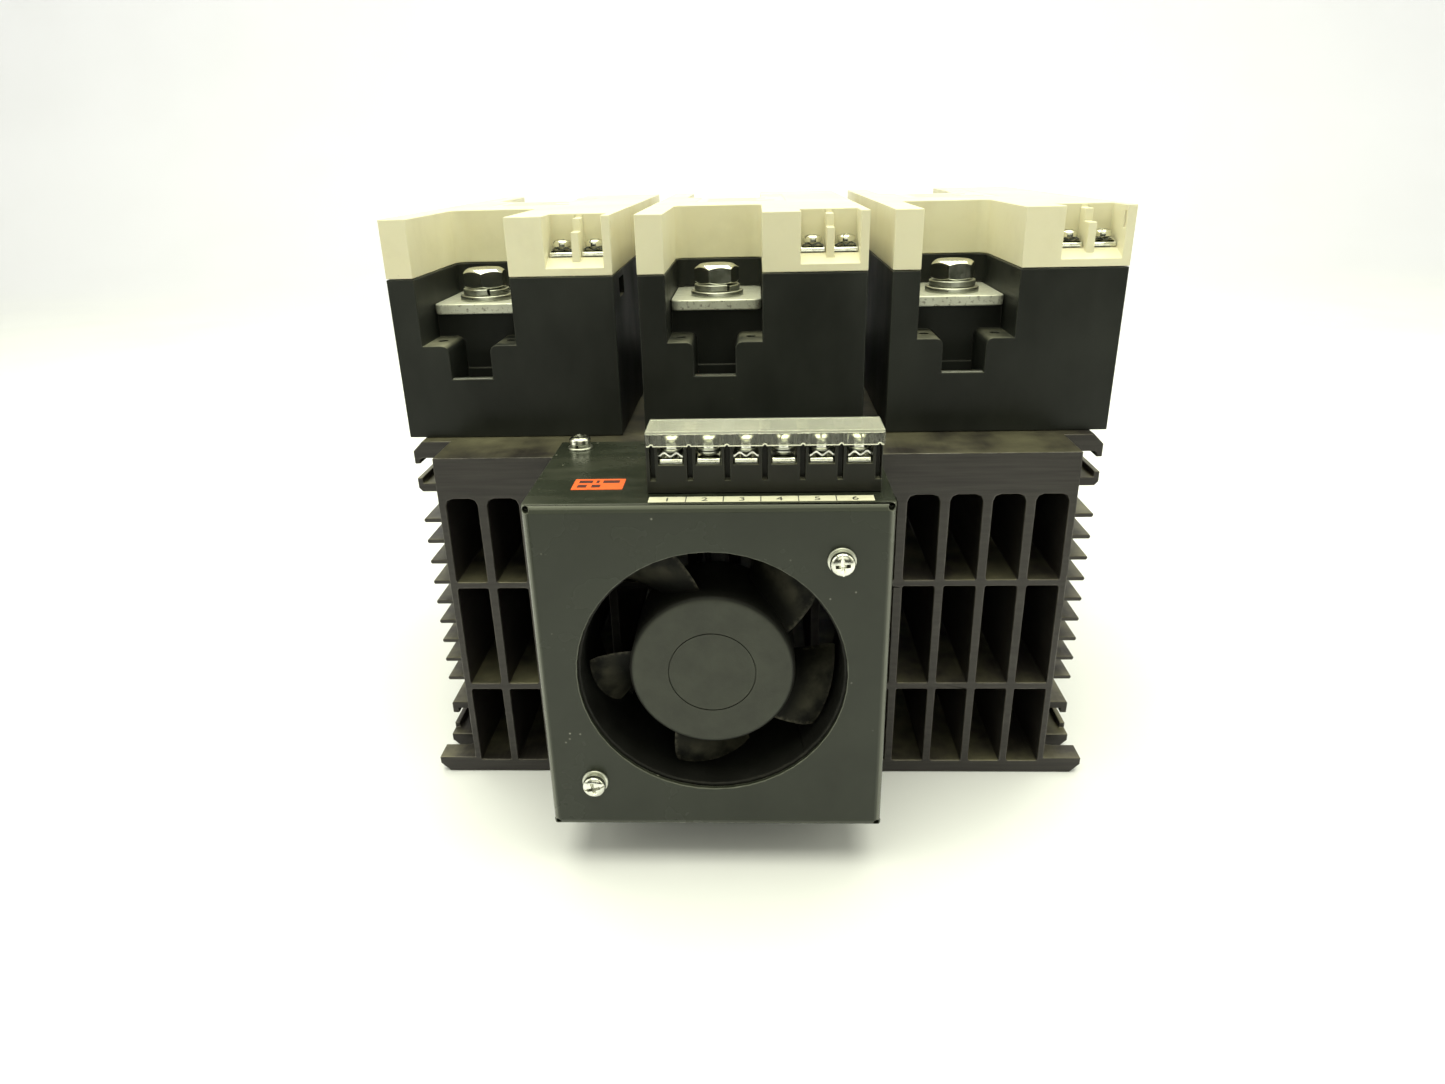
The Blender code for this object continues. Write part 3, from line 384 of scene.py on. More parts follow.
def piece(name, mesh, look, body, at=(0.0, 0.0, 0.0)):
    """Make a visible piece that rides on a body; at is where its origin goes, in metres."""
    obj = bpy.data.objects.new(name, mesh)
    obj.location = at
    bpy.context.collection.objects.link(obj)
    mesh.materials.clear()
    mesh.materials.append(LOOKS[look])
    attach(obj, body)
    return obj


def shaded(mesh, angle=35.0):
    """Smooth a mesh, but keep edges sharper than the angle."""
    mesh.shade_smooth()
    mesh.set_sharp_from_angle(angle=radians(angle))
    return mesh


def to_mesh(name, shape, angle=35.0, scale=MM):
    """Turn a bmesh in millimetres into a mesh in metres."""
    bmesh.ops.recalc_face_normals(shape, faces=shape.faces)
    bmesh.ops.scale(shape, vec=(scale, scale, scale), verts=shape.verts)
    mesh = bpy.data.meshes.new(name)
    shape.to_mesh(mesh)
    shape.free()
    return shaded(mesh, angle)


def soften(obj, width, segments=2, limit=40.0):
    """Round the edges of a piece and keep its flat faces flat."""
    rounding = obj.modifiers.new("rounding", "BEVEL")
    rounding.width = width
    rounding.segments = segments
    rounding.limit_method = "ANGLE"
    rounding.angle_limit = radians(limit)
    rounding.use_clamp_overlap = False
    rounding.harden_normals = False
    normals = obj.modifiers.new("normals", "WEIGHTED_NORMAL")
    normals.keep_sharp = True
    return obj


def refined(node, look, width, body=UNIT, segments=2, limit=40.0, largest=None):
    """Replace a CAD node with a copy that has whole flat faces and rounded edges.

    Faces with more corners than the largest count are cut into triangles again.
    """
    shape = bmesh.new()
    shape.from_mesh(frame["nodes"][node].data)
    bmesh.ops.remove_doubles(shape, verts=shape.verts, dist=0.000002)
    edges = shape.edges[:]
    bmesh.ops.dissolve_limit(shape, angle_limit=radians(0.5), verts=shape.verts, edges=edges)
    if largest is not None:
        wide = [face for face in shape.faces if len(face.verts) > largest]
        bmesh.ops.triangulate(shape, faces=wide)
    mesh = to_mesh(f"{node}_moulded", shape, 50.0, 1.0)
    obj = piece(f"{node}_moulded", mesh, look, body)
    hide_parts(node)
    return soften(obj, width, segments, limit)


def lathe(profile, count=64):
    """Turn (radius, height) rows about Z; a radius of 0 closes an end."""
    shape = bmesh.new()
    rows = []
    for radius, height in profile:
        if radius == 0:
            rows.append([shape.verts.new((0.0, 0.0, height))] * count)
            continue
        turns = [2 * pi * i / count for i in range(count)]
        rows.append([shape.verts.new((radius * cos(t), radius * sin(t), height)) for t in turns])
    join_rows(shape, rows, count)
    return shape


def join_rows(shape, rows, count):
    """Skin a list of closed rows."""
    for low, high in zip(rows, rows[1:]):
        for i in range(count):
            j = (i + 1) % count
            corners = list(dict.fromkeys((low[i], low[j], high[j], high[i])))
            if len(corners) > 2:
                shape.faces.new(corners)


def loft(shape, rows):
    """Skin a list of closed rows, and close both ends."""
    join_rows(shape, rows, len(rows[0]))
    shape.faces.new(rows[0][::-1])
    shape.faces.new(rows[-1])


def prism(outline, start, stop, axis=2):
    """Extrude a closed outline along an axis."""
    shape = bmesh.new()
    order = ((2, 0, 1), (0, 2, 1), (0, 1, 2))[axis]

    def vert(point, along):
        values = (point[0], point[1], along)
        return shape.verts.new([values[k] for k in order])

    near = [vert(point, start) for point in outline]
    far = [vert(point, stop) for point in outline]
    shape.faces.new(near)
    shape.faces.new(far[::-1])
    for i in range(len(outline)):
        j = (i + 1) % len(outline)
        shape.faces.new((near[j], near[i], far[i], far[j]))
    return shape


def carved(body, tool):
    """Cut one mesh out of another, and return the result as a mesh."""
    target = bpy.data.objects.new("target", body)
    cutter = bpy.data.objects.new("cutter", tool)
    for obj in (target, cutter):
        bpy.context.collection.objects.link(obj)
    step = target.modifiers.new("cut", "BOOLEAN")
    step.operation = "DIFFERENCE"
    step.solver = "EXACT"
    step.object = cutter
    bpy.context.view_layer.update()
    graph = bpy.context.evaluated_depsgraph_get()
    made = bpy.data.meshes.new_from_object(target.evaluated_get(graph))
    made.name = body.name
    bpy.data.objects.remove(target)
    bpy.data.objects.remove(cutter)
    return shaded(made, 35.0)


def curve_mesh(name, curve):
    """Turn a curve into a mesh."""
    source = bpy.data.objects.new("source", curve)
    bpy.context.collection.objects.link(source)
    bpy.context.view_layer.update()
    graph = bpy.context.evaluated_depsgraph_get()
    mesh = bpy.data.meshes.new_from_object(source.evaluated_get(graph))
    mesh.name = name
    bpy.data.objects.remove(source)
    return mesh


def middle(node):
    """Return the middle of a CAD node's box."""
    low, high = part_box(node)
    return (low + high) / 2


# ---------------------------------------------------------------- small hardware


def cross_arm(reach, width, depth, top, turn):
    """Make one tapered arm of a screw recess, open at the top."""
    shape = bmesh.new()
    spin = Matrix.Rotation(turn, 3, "Z")
    rows = []
    for share, z in ((0.45, top - depth), (1.0, top), (1.0, top + 0.6)):
        half = reach * share
        side = width / 2 * (0.7 + 0.3 * share)
        corners = ((-half, -side), (half, -side), (half, side), (-half, side))
        rows.append([shape.verts.new(spin @ Vector((x, y, z))) for x, y in corners])
    loft(shape, rows)
    return shape


def pan_head_mesh(name, radius, rise):
    """Make a domed screw head with a cross recess and one long groove, its seat at z = 0."""
    rim = rise * 0.45
    groove_side = 0.25
    dome = [(radius * cos(radians(15 * i)) ** 0.7, rim + (rise - rim) * sin(radians(15 * i)))
            for i in range(1, 6)]
    profile = [(0, 0.0), (radius * 0.97, 0.0), (radius, 0.12), (radius, rim), *dome, (0, rise)]
    head = to_mesh(name, lathe(profile, 48), 30.0)
    for turn in (0.0, pi / 2):
        arm = cross_arm(radius * 0.62, radius * 0.30, rise * 0.85, rise, turn)
        head = carved(head, to_mesh("arm", arm))
    half = radius * 1.1
    groove = [(-half, -groove_side), (half, -groove_side), (half, groove_side), (-half, groove_side)]
    return carved(head, to_mesh("groove", prism(groove, rise * 0.5, rise + 1.0)))


def split_ring_mesh(name, inner, outer, thick, lift, gap_at, gap=0.13):
    """Make a split spring washer; its ends part at the gap and stand a little apart."""
    shape = bmesh.new()
    count = 60
    rows = []
    for i in range(count + 1):
        share = i / count
        turn = gap_at + gap / 2 + (2 * pi - gap) * share
        low = lift * (share - 0.5) + lift / 2
        corner = 0.15
        section = (
            (inner, low + corner), (inner + corner, low), (outer - corner, low), (outer, low + corner),
            (outer, low + thick - corner), (outer - corner, low + thick),
            (inner + corner, low + thick), (inner, low + thick - corner),
        )
        rows.append([shape.verts.new((r * cos(turn), r * sin(turn), z)) for r, z in section])
    loft(shape, rows)
    return to_mesh(name, shape, 30.0)


def washer_mesh(name, inner, outer, thick):
    """Make a plain washer with one rolled upper edge."""
    profile = [
        (inner, 0.0), (outer - 0.1, 0.0), (outer, 0.1), (outer, thick - 0.35), (outer - 0.12, thick - 0.12),
        (outer - 0.4, thick), (inner + 0.1, thick), (inner, thick - 0.1), (inner, 0.0),
    ]
    return to_mesh(name, lathe(profile, 72), 40.0)


def hex_head_mesh(name, across, rise):
    """Make a hexagon head whose corners are turned down to a cone, with a slightly dished top."""
    shape = bmesh.new()
    count = 96
    half = across / 2
    crown = half * 0.90

    def reach(turn):
        local = turn % (pi / 3) - pi / 6
        return half / cos(local)

    def ring(radius_at, height_at):
        row = []
        for i in range(count):
            turn = 2 * pi * i / count
            radius = radius_at(turn)
            row.append(shape.verts.new((radius * cos(turn), radius * sin(turn), height_at(radius))))
        return row

    def shoulder(radius):
        return rise - max(0.0, radius - crown) * tan(radians(33.0)) - 0.35

    rows = [
        [shape.verts.new((0.0, 0.0, 0.0))] * count,
        ring(lambda t: half * 0.94, lambda r: 0.0),
        ring(lambda t: half * 0.97, lambda r: 0.25),
        ring(lambda t: reach(t) - 0.12, lambda r: 0.3 + (r - half) * 0.5),
        ring(reach, lambda r: 0.45 + (r - half) * 0.5),
        ring(reach, lambda r: shoulder(r) - 0.12),
        ring(lambda t: reach(t) - 0.14, shoulder),
        ring(lambda t: crown, lambda r: rise - 0.32),
        ring(lambda t: crown - 0.5, lambda r: rise - 0.08),
        ring(lambda t: crown - 1.2, lambda r: rise),
        ring(lambda t: half * 0.45, lambda r: rise - 0.02),
        [shape.verts.new((0.0, 0.0, rise - 0.05))] * count,
    ]
    join_rows(shape, rows, count)
    return to_mesh(name, shape, 24.0)


def wave_clamp_mesh(name, width, depth, rise, thick):
    """Make a pressed clamp plate: its middle dips and both sides arch over the wire."""
    shape = bmesh.new()
    steps = 20
    rows = []
    for i in range(steps + 1):
        x = width * (i / steps - 0.5)
        z = rise * sin(2 * pi * abs(x) / width) ** 2 + 0.12 * rise
        y0 = -depth / 2
        y1 = depth / 2
        corners = ((y0, z), (y1, z), (y1, z + thick), (y0, z + thick))
        rows.append([shape.verts.new((x, y, h)) for y, h in corners])
    loft(shape, rows)
    return to_mesh(name, shape, 40.0)


def tray_mesh(name, width, depth, thick, lip):
    """Make a flat terminal plate whose front edge turns down over the moulding."""
    bend = thick * 0.9
    section = [(depth / 2, 0.0), (depth / 2, thick), (-depth / 2 + bend, thick)]
    for i in range(1, 6):
        turn = pi / 2 * i / 5
        section.append((-depth / 2 + bend * (1 - sin(turn)), thick - bend * (1 - cos(turn))))
    section += [(-depth / 2, -lip), (-depth / 2 + thick, -lip), (-depth / 2 + thick, 0.0)]
    shape = prism(section, -width / 2, width / 2, axis=0)
    return to_mesh(name, shape, 30.0)


MESHES = {
    "hex": hex_head_mesh("hex_head", 15.2, 7.4),
    "washer": washer_mesh("plain_washer", 5.0, 10.3, 1.95),
    "small_washer": washer_mesh("small_washer", 2.2, 4.5, 0.8),
    "small_ring": split_ring_mesh("small_split_ring", 2.3, 3.7, 0.9, 0.25, radians(-100.0), 0.3),
    "pan": pan_head_mesh("pan_head", 3.9, 2.7),
    "clamp_head": pan_head_mesh("clamp_screw_head", 3.4, 2.5),
    "strip_head": pan_head_mesh("strip_screw_head", 3.3, 4.1),
    "strip_washer": washer_mesh("strip_washer", 2.1, 3.6, 0.8),
}


def stack(node, parts, at, lean=Matrix.Identity(4)):
    """Place a node's hardware meshes; each part is (name, mesh, look, height, turn)."""
    made = []
    for name, mesh, look, height, turn in parts:
        obj = piece(f"{node}_{name}", mesh, look, UNIT)
        lift = Matrix.Translation((0, 0, height * MM))
        obj.matrix_world = Matrix.Translation(at) @ lean @ lift @ Matrix.Rotation(turn, 4, "Z")
        made.append(obj)
    return made


def main_bolts():
    """Build the six busbar bolts with their washers."""
    ring_turns = (-70.0, -58.0, 20.0)
    head_turns = (34.0, 11.0, 9.0)
    for number, side in enumerate(SIDES):
        for end in ENDS:
            node = f"{side}_{end}_bolt"
            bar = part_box(f"{side}_{end}_busbar")[1].z
            spot = middle(node)
            ring_turn = ring_turns[number] if end == "line" else 75.0
            ring = split_ring_mesh(f"{node}_ring", 5.0, 8.9, 2.1, 0.4, radians(ring_turn))
            parts = [
                ("plain_washer", MESHES["washer"], "washer", 0.02, 0.0),
                ("spring_washer", ring, "washer", 1.98, 0.0),
                ("head", MESHES["hex"], "hardware", 4.5, radians(head_turns[number])),
            ]
            made = stack(node, parts, Vector((spot.x, spot.y, bar)))
            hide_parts(node)


def pan_screws():
    """Build the screws of the top plate and the two long screws of the fan."""
    box_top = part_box("fan_cover")[1].z
    box_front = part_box("fan_cover")[0].y
    parts = [
        ("washer", MESHES["small_washer"], "washer", 0.02, 0.0),
        ("ring", MESHES["small_ring"], "washer", 0.83, 0.0),
    ]
    for side, turn in (("left", 25.0), ("right", -20.0)):
        node = f"plate_screw_{side}"
        spot = middle(node)
        head = [("head", MESHES["pan"], "hardware", 2.0, radians(turn))]
        made = stack(node, parts + head, Vector((spot.x, spot.y, box_top)))
        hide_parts(node)
    lean = Matrix.Rotation(pi / 2, 4, "X")
    for side, turn in (("lower", 12.0), ("upper", 95.0)):
        node = f"fan_screw_{side}"
        spot = middle(node)
        head = [("head", MESHES["pan"], "hardware", 2.0, radians(turn))]
        made = stack(node, parts + head, Vector((spot.x, box_front, spot.z)), lean)
        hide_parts(node)


def control_terminals():
    """Build the two clamp terminals in each module's notch."""
    below_top = 6.0 * MM
    tray = tray_mesh("control_tray", 8.4, 7.8, 1.9, 0.0)
    clamp = wave_clamp_mesh("control_clamp", 7.8, 6.6, 0.8, 0.6)
    for side in SIDES:
        for number in (1, 2):
            node = f"{side}_control_terminal_{number}"
            spot = middle(node)
            at = Vector((spot.x, spot.y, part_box(node)[1].z - below_top))
            parts = [
                ("plate", tray, "hardware", 0.0, 0.0),
                ("clamp", clamp, "hardware", 1.9, 0.0),
                ("head", MESHES["clamp_head"], "hardware", 3.35, radians(35.0 * number)),
            ]
            made = stack(node, parts, at)
            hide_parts(node)


def strip_terminals():
    """Build the six strip terminals: a plate with either a wavy clamp or two cup washers."""
    plate = tray_mesh("strip_plate", 6.8, 12.0, 1.4, 0.0)
    clamp = wave_clamp_mesh("strip_clamp", 7.7, 7.2, 1.1, 0.6)
    dish = [(0, 0.0), (1.8, 0.0), (3.1, 0.7), (3.75, 1.5), (3.75, 1.9), (3.1, 1.2), (1.8, 0.6), (0, 0.6)]
    cup = to_mesh("strip_cup", lathe(dish, 48), 30.0)
    screw_offset = 1.6 * MM
    for number in range(1, POLES + 1):
        node = f"strip_terminal_{number}"
        spot = middle(node)
        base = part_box(node)[0].z
        made = stack(node, [("plate", plate, "hardware", 0.0, 0.0)], Vector((spot.x, spot.y, base)))
        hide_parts(node)
        if number in (2, 4):
            under = [("cup", cup, "washer", 1.45, 0.0), ("upper_cup", cup, "washer", 2.3, 0.0)]
        else:
            under = [("clamp", clamp, "hardware", 1.6, radians(2.0 * (number - 3))),
                     ("washer", MESHES["strip_washer"], "washer", 3.3, 0.0)]
        head = [("head", MESHES["strip_head"], "hardware", 4.2, radians(17.0 * number))]
        stack(node, under + head, Vector((spot.x, spot.y - screw_offset, base)))


# ---------------------------------------------------------------- fan


def hub_mesh(face_radius, length):
    """Turn the rotor's cup: rounded rim, a fine parting circle and a wall down to its open end."""
    rim = 2.2
    groove = 14.4
    profile = [(0, 0.06), (groove - 1.0, 0.05), (groove - 0.18, 0.03), (groove - 0.14, 0.5),
               (groove + 0.14, 0.5), (groove + 0.18, 0.0), (face_radius - rim - 1.0, 0.0)]
    for i in range(9):
        turn = pi / 2 * i / 8
        profile.append((face_radius - rim * (1 - sin(turn)), rim * (1 - cos(turn))))
    profile += [(face_radius, length * 0.5), (face_radius, length), (face_radius - 2.4, length),
                (face_radius - 2.4, 3.0), (0, 3.0)]
    return to_mesh("fan_hub", lathe(profile, 128), 40.0)


def blade_mesh(name, inner, outer):
    """Loft one twisted, cambered blade with rounded edges, leading away from the hub."""
    shape = bmesh.new()
    stations = 14
    across = [i / 10 - 0.5 for i in range(11)]
    section = [(a, -1) for a in across] + [(a, 1) for a in reversed(across)]
    rows = []
    for i in range(stations):
        share = i / (stations - 1)
        radius = inner + (outer - inner) * share
        pitch = radians(46.0 - 17.0 * share)
        trim = 1.0 - 0.22 * max(0.0, share - 0.75) * 4 * max(0.0, share - 0.75)
        chord = (26.0 + 4.6 * share) * trim
        sweep = radians(9.0) * share
        row = []
        for along, side in section:
            camber = 2.6 * (1.0 - 4.0 * along * along)
            thick = 0.85 * side * (1.0 - 4.0 * along * along) ** 0.5
            run = along * chord * cos(pitch) + (camber + thick) * sin(pitch)
            depth = along * chord * sin(pitch) - (camber + thick) * cos(pitch)
            turn = sweep + run / radius
            row.append(shape.verts.new((radius * cos(turn), radius * sin(turn), -depth)))
        rows.append(row)
    loft(shape, rows)
    bmesh.ops.remove_doubles(shape, verts=shape.verts, dist=0.0001)
    return to_mesh(name, shape, 60.0)


def build_rotor():
    """Build the fan wheel: hub and five blades."""
    centre = middle("fan_shaft")
    lean = Matrix.Rotation(-pi / 2, 4, "X")
    face = Vector((centre.x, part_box("fan_rotor")[0].y, centre.z))
    hub = piece("fan_hub", hub_mesh(27.5, 29.0), "fan_rotor", WHEEL)
    hub.matrix_world = Matrix.Translation(face) @ lean
    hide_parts("fan_rotor")
    blade = blade_mesh("fan_blade", 27.0, 41.9)
    depth = face.y + 14.8 * MM
    first = 44.0
    flip = Matrix.Rotation(pi / 2, 4, "X")
    for number in range(BLADES):
        obj = piece(f"fan_blade_{number + 1}", blade, "fan_blade", WHEEL)
        turn = Matrix.Rotation(radians(first + 360.0 / BLADES * number), 4, "Z")
        obj.matrix_world = Matrix.Translation((centre.x, depth, centre.z)) @ flip @ turn


# ---------------------------------------------------------------- labels


def plate_mesh(name, width, depth, thick, radius=0.4):
    """Make a thin label with rounded corners, its lower left corner at the origin."""
    outline = []
    corners = ((width - radius, radius, -90), (width - radius, depth - radius, 0),
               (radius, depth - radius, 90), (radius, radius, 180))
    for x, y, start in corners:
        for i in range(4):
            turn = radians(start + 30 * i)
            outline.append((x + radius * cos(turn), y + radius * sin(turn)))
    return to_mesh(name, prism(outline, 0.0, thick), 30.0)


def label(name, look, at, size, radius=0.4, thick=0.12):
    """Lay a thin label on a surface; at is its lower left corner, size is in millimetres."""
    mesh = plate_mesh(name, size[0], size[1], thick, radius)
    return piece(name, mesh, look, UNIT, at)


def digit(name, text, at, size):
    """Print one plain terminal number flat on a label."""
    curve = bpy.data.curves.new(name, "FONT")
    curve.body = text
    curve.size = size * MM
    curve.extrude = 0.02 * MM
    curve.align_x = "CENTER"
    return piece(name, curve_mesh(name, curve), "ink", UNIT, at)


def strip_label():
    """Lay the numbered paper strip in front of the terminal strip."""
    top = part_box("fan_cover")[1].z
    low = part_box("terminal_block")[0]
    x0 = low.x + 0.9 * MM
    y0 = low.y - 7.6 * MM
    width = 69.0
    depth = 4.7
    line = 0.3
    label("number_strip", "paper", (x0, y0, top + 0.01 * MM), (width, depth), 0.2)
    for cell in range(POLES):
        x = x0 + width * cell / POLES * MM
        if cell > 0:
            at = (x - line / 2 * MM, y0, top + 0.13 * MM)
            label(f"strip_line_{cell}", "ink", at, (line, depth), 0.05, 0.02)
        at = (x + width / POLES / 2 * MM, y0 + 0.75 * MM, top + 0.15 * MM)
        digit(f"strip_number_{cell + 1}", str(cell + 1), at, 4.4)


def orange_label():
    """Lay the small orange label, with plain bars where the print would be."""
    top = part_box("fan_cover")[1].z
    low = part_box("terminal_block")[0]
    x0 = low.x - 25.1 * MM
    y0 = low.y + 4.7 * MM
    label("orange_label", "orange", (x0, y0, top + 0.01 * MM), (16.5, 10.3), 0.3)
    rows = (((1.6, 4.6), (6.2, 9.0)), ((1.6, 6.0), (7.2, 8.2), (9.4, 14.8)))
    for row, spans in enumerate(rows):
        for number, (start, stop) in enumerate(spans):
            at = (x0 + start * MM, y0 + (1.9 + 4.3 * row) * MM, top + 0.13 * MM)
            size = (stop - start, 2.7)
            label(f"orange_bar_{row}_{number}", "maroon", at, size, 0.2, 0.02)


def rating_labels():
    """Lay a plain label in the shallow recess on top of each module."""
    recess_depth = 0.4 * MM
    size = (38.2, 41.6)
    for side in SIDES:
        low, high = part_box(f"{side}_cover")
        x0 = low.x + 17.4 * MM
        y0 = low.y + 85.4 * MM
        top = high.z - recess_depth
        at = (x0, y0, top + 0.02 * MM)
        label(f"{side}_rating_label", "rating", at, size, 0.8, 0.15)
        for row, length in enumerate((30.0, 22.0, 26.0)):
            at = (x0 + 4.0 * MM, y0 + (8.0 + 10.5 * row) * MM, top + 0.18 * MM)
            name = f"{side}_rating_bar_{row}"
            label(name, "rating_ink", at, (length, 3.2), 0.3, 0.02)


# ---------------------------------------------------------------- moulded and folded parts


def cover_lip_highlight():
    """Run an opaque bright bead along the clear cover's front lip, up over each small notch, as a painted
    highlight where the lip catches the light.
    """
    low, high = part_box("terminal_cover")
    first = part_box("terminal_block")[0].x + 2.0 * MM
    level = low.z + 0.25 * MM
    notch = (0.6 * MM, 0.55 * MM)
    curve = bpy.data.curves.new("strip_cover_painted_highlight", "CURVE")
    curve.dimensions = "3D"
    curve.bevel_depth = 0.22 * MM
    curve.bevel_resolution = 2
    curve.use_fill_caps = True
    points = [(low.x + 0.3 * MM, level)]
    for number in range(POLES + 1):
        centre = first + POLE_PITCH * number
        for i in range(7):
            turn = pi - pi * i / 6
            points.append((centre + notch[0] * cos(turn), level + notch[1] * sin(turn)))
    points.append((high.x - 0.3 * MM, level))
    spline = curve.splines.new("POLY")
    spline.points.add(len(points) - 1)
    for knot, (x, z) in zip(spline.points, points):
        knot.co = (x, low.y - 0.05 * MM, z, 1.0)
    mesh = curve_mesh("strip_cover_painted_highlight", curve)
    piece("strip_cover_painted_highlight", shaded(mesh), "lip", LID)


def moulded_parts():
    """Give every large CAD part rounded edges and its own material."""
    refined("heat_sink", "heat_sink", 0.35 * MM, limit=50.0)
    for side in SIDES:
        refined(f"{side}_base", "relay_base", 0.35 * MM)
        refined(f"{side}_cover", "relay_cover", 0.3 * MM, largest=8)
        for end in ENDS:
            refined(f"{side}_{end}_busbar", "busbar", 0.45 * MM, segments=3)
    refined("fan_cover", "fan_cover", 0.25 * MM, limit=50.0)
    refined("fan_housing", "fan_frame", 0.5 * MM, limit=50.0)
    refined("terminal_block", "strip", 0.2 * MM, largest=8)
    refined("terminal_cover", "strip_cover", 0.3 * MM, LID, segments=3)
    refined("thermostat", "thermostat", 0.4 * MM)


def painted_slot_highlights():
    """Lay a thin bright strip on the ledge at the bottom of each wire slot, as a painted highlight along
    the ledge's front edge.
    """
    mesh = plate_mesh("painted_slot_highlight", 15.2, 2.2, 0.25, 0.3)
    ledge = 159.02 * MM
    for side in SIDES:
        low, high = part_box(f"{side}_base")
        for end, y in (("line", low.y + 0.5 * MM), ("load", high.y - 2.7 * MM)):
            at = (low.x + 19.8 * MM, y, ledge)
            # painted highlight: a pale zinc strip where the ledge edge catches the light
            piece(f"{side}_{end}_slot_sill", mesh, "washer", UNIT, at)


def smooth_leads():
    """Replace the two leads with rounder ones."""
    for node in ("fan_lead", "thermostat_lead"):
        mesh = frame["nodes"][node].data.copy()
        mesh.name = f"{node}_round"
        obj = piece(f"{node}_round", shaded(mesh, 60.0), "lead", UNIT)
        finer = obj.modifiers.new("finer", "SUBSURF")
        finer.levels = 1
        finer.render_levels = 1
        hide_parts(node)


def dress_cad_nodes():
    """Give the CAD parts that stay the finish of their slot."""
    slots = {row["node"]: row["material_slot"] for row in frame["record"]["subparts"]}
    for node, obj in frame["nodes"].items():
        for index in range(max(1, len(obj.material_slots))):
            if not obj.material_slots:
                obj.data.materials.append(None)
            obj.material_slots[index].link = "OBJECT"
            obj.material_slots[index].material = LOOKS[slots[node]]


# ---------------------------------------------------------------- studio


def floor_look():
    """Pale matte floor with the faintest soiling; the backdrop glows a little."""
    look = Look("studio_floor", (0.86, 0.86, 0.92), 0.6, gloss=0.2)
    cloud = look.noise(6.0, 5.0)
    glow = look.band(look.height(1), 0.9, 2.2, 0.0, 0.36)
    look.feed(look.shader.inputs["Emission Color"], (0.97, 0.97, 1.0, 1.0))
    look.feed(look.shader.inputs["Emission Strength"], glow)
    return look.finish(look.mix(look.band(cloud, 0.45, 0.75), (0.86, 0.86, 0.94), (0.83, 0.83, 0.90)))


def studio_sheet(name, rows, half, material):
    """Hang a sheet through rows of (y, z), reaching half a width to each side, in metres."""
    shape = bmesh.new()
    line = [[shape.verts.new((x, y, z)) for x in (-half, half)] for y, z in rows]
    for low, high in zip(line, line[1:]):
        shape.faces.new((low[0], low[1], high[1], high[0]))
    mesh = to_mesh(name, shape, 60.0, 1.0)
    mesh.materials.append(material)
    sheet = bpy.data.objects.new(name, mesh)
    bpy.context.collection.objects.link(sheet)


def build_floor():
    """Lay a floor that curves up into a backdrop far behind the unit."""
    level = CAD_BOX[0].z - 0.0001
    bend = 0.8
    bend_from = 1.6
    rows = [(FLOOR_FRONT, level), (bend_from, level)]
    for i in range(1, 9):
        turn = pi / 2 * i / 8
        rows.append((bend_from + bend * sin(turn), level + bend * (1 - cos(turn))))
    rows.append((bend_from + bend, level + 2.2))
    studio_sheet("floor", rows, 4.0, floor_look())


def build_dark_room():
    """Close the studio behind the camera with a dark floor and wall."""
    wall = -3.0
    low = -0.05
    rows = [(FLOOR_FRONT, low), (wall, low), (wall, 1.3)]
    paint = Look("dark_room", (0.03, 0.035, 0.025), 0.9, gloss=0.1)
    studio_sheet("dark_room", rows, 3.0, paint.material)


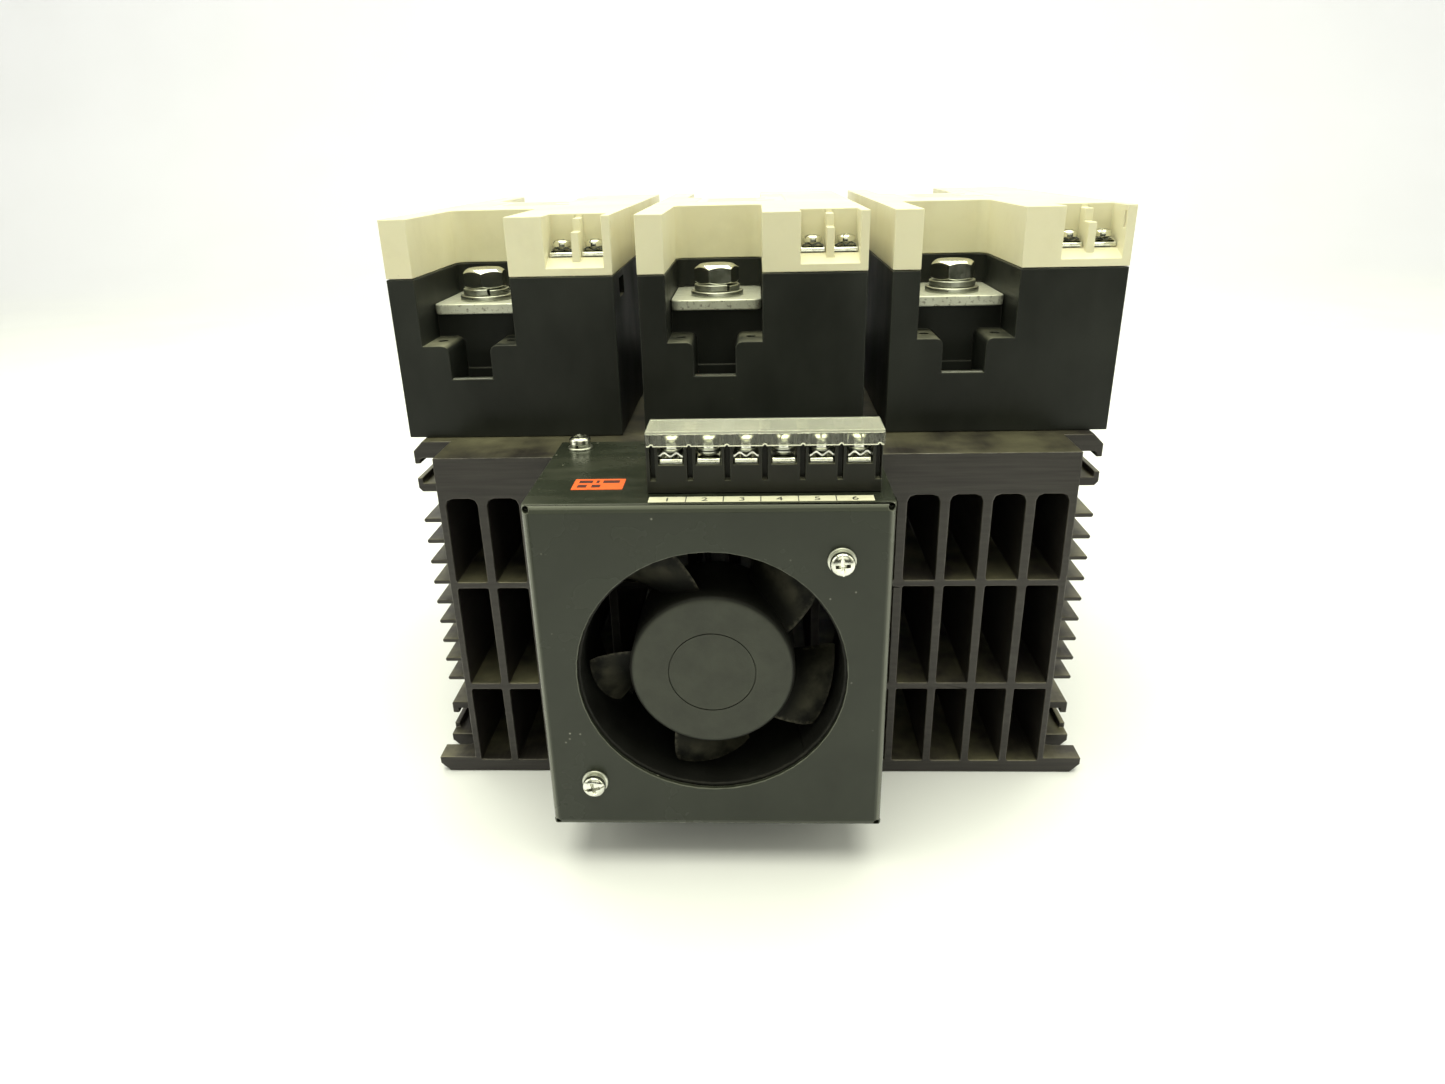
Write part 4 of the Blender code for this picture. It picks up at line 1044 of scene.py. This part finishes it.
def area_light(name, at, aim, size, energy):
    """Hang one large soft light that points at a place."""
    lamp = bpy.data.lights.new(name, "AREA")
    lamp.shape = "RECTANGLE"
    lamp.size, lamp.size_y = size
    lamp.energy = energy
    lamp.color = LAMP_TINT
    obj = bpy.data.objects.new(name, lamp)
    obj.location = at
    obj.rotation_euler = (Vector(aim) - Vector(at)).to_track_quat("-Z", "Y").to_euler()
    bpy.context.collection.objects.link(obj)


def build_lights():
    """Soft light from above, from both sides and from beside the camera."""
    centre = (CAD_BOX[0] + CAD_BOX[1]) / 2
    area_light("overhead", (0.0, 0.08, 1.5), centre, (1.8, 2.0), 43.0)
    area_light("left_side", (-1.5, -0.5, 0.9), centre, (1.0, 1.2), 8.0)
    area_light("right_side", (1.5, -0.3, 0.9), centre, (1.0, 1.2), 6.0)
    area_light("front", (0.2, -1.7, 0.8), centre, (1.6, 0.9), 5.0)
    world = bpy.data.worlds.new("studio")
    world.use_nodes = True
    sky = world.node_tree.nodes["Background"]
    sky.inputs["Color"].default_value = (*LAMP_TINT, 1.0)
    sky.inputs["Strength"].default_value = 0.42
    bpy.context.scene.world = world
    bpy.context.scene.view_settings.view_transform = "Standard"


def build_camera():
    """Stand the camera a little above the fan side, turned slightly and tilted down."""
    place = (0.00186, -0.4103, 0.2356)
    pitch, yaw, roll = radians(22.53), radians(-2.43), radians(-1.335)
    ahead = Vector((sin(yaw) * cos(pitch), cos(yaw) * cos(pitch), -sin(pitch)))
    level = Vector((cos(yaw), -sin(yaw), 0.0))
    above = level.cross(ahead)
    right = level * cos(roll) + above * sin(roll)
    up = above * cos(roll) - level * sin(roll)
    lens = bpy.data.cameras.new("camera")
    lens.sensor_fit = "HORIZONTAL"
    lens.sensor_width = 36.0
    lens.lens = 23.25
    lens.clip_start = 0.01
    lens.clip_end = 50.0
    obj = bpy.data.objects.new("camera", lens)
    turn = Matrix((right, up, -ahead)).transposed().to_4x4()
    obj.matrix_world = Matrix.Translation(place) @ turn
    bpy.context.collection.objects.link(obj)
    bpy.context.scene.camera = obj


build_camera()
dress_cad_nodes()
moulded_parts()
main_bolts()
pan_screws()
control_terminals()
strip_terminals()
build_rotor()
strip_label()
orange_label()
rating_labels()
cover_lip_highlight()
painted_slot_highlights()
smooth_leads()
build_floor()
build_dark_room()
build_lights()
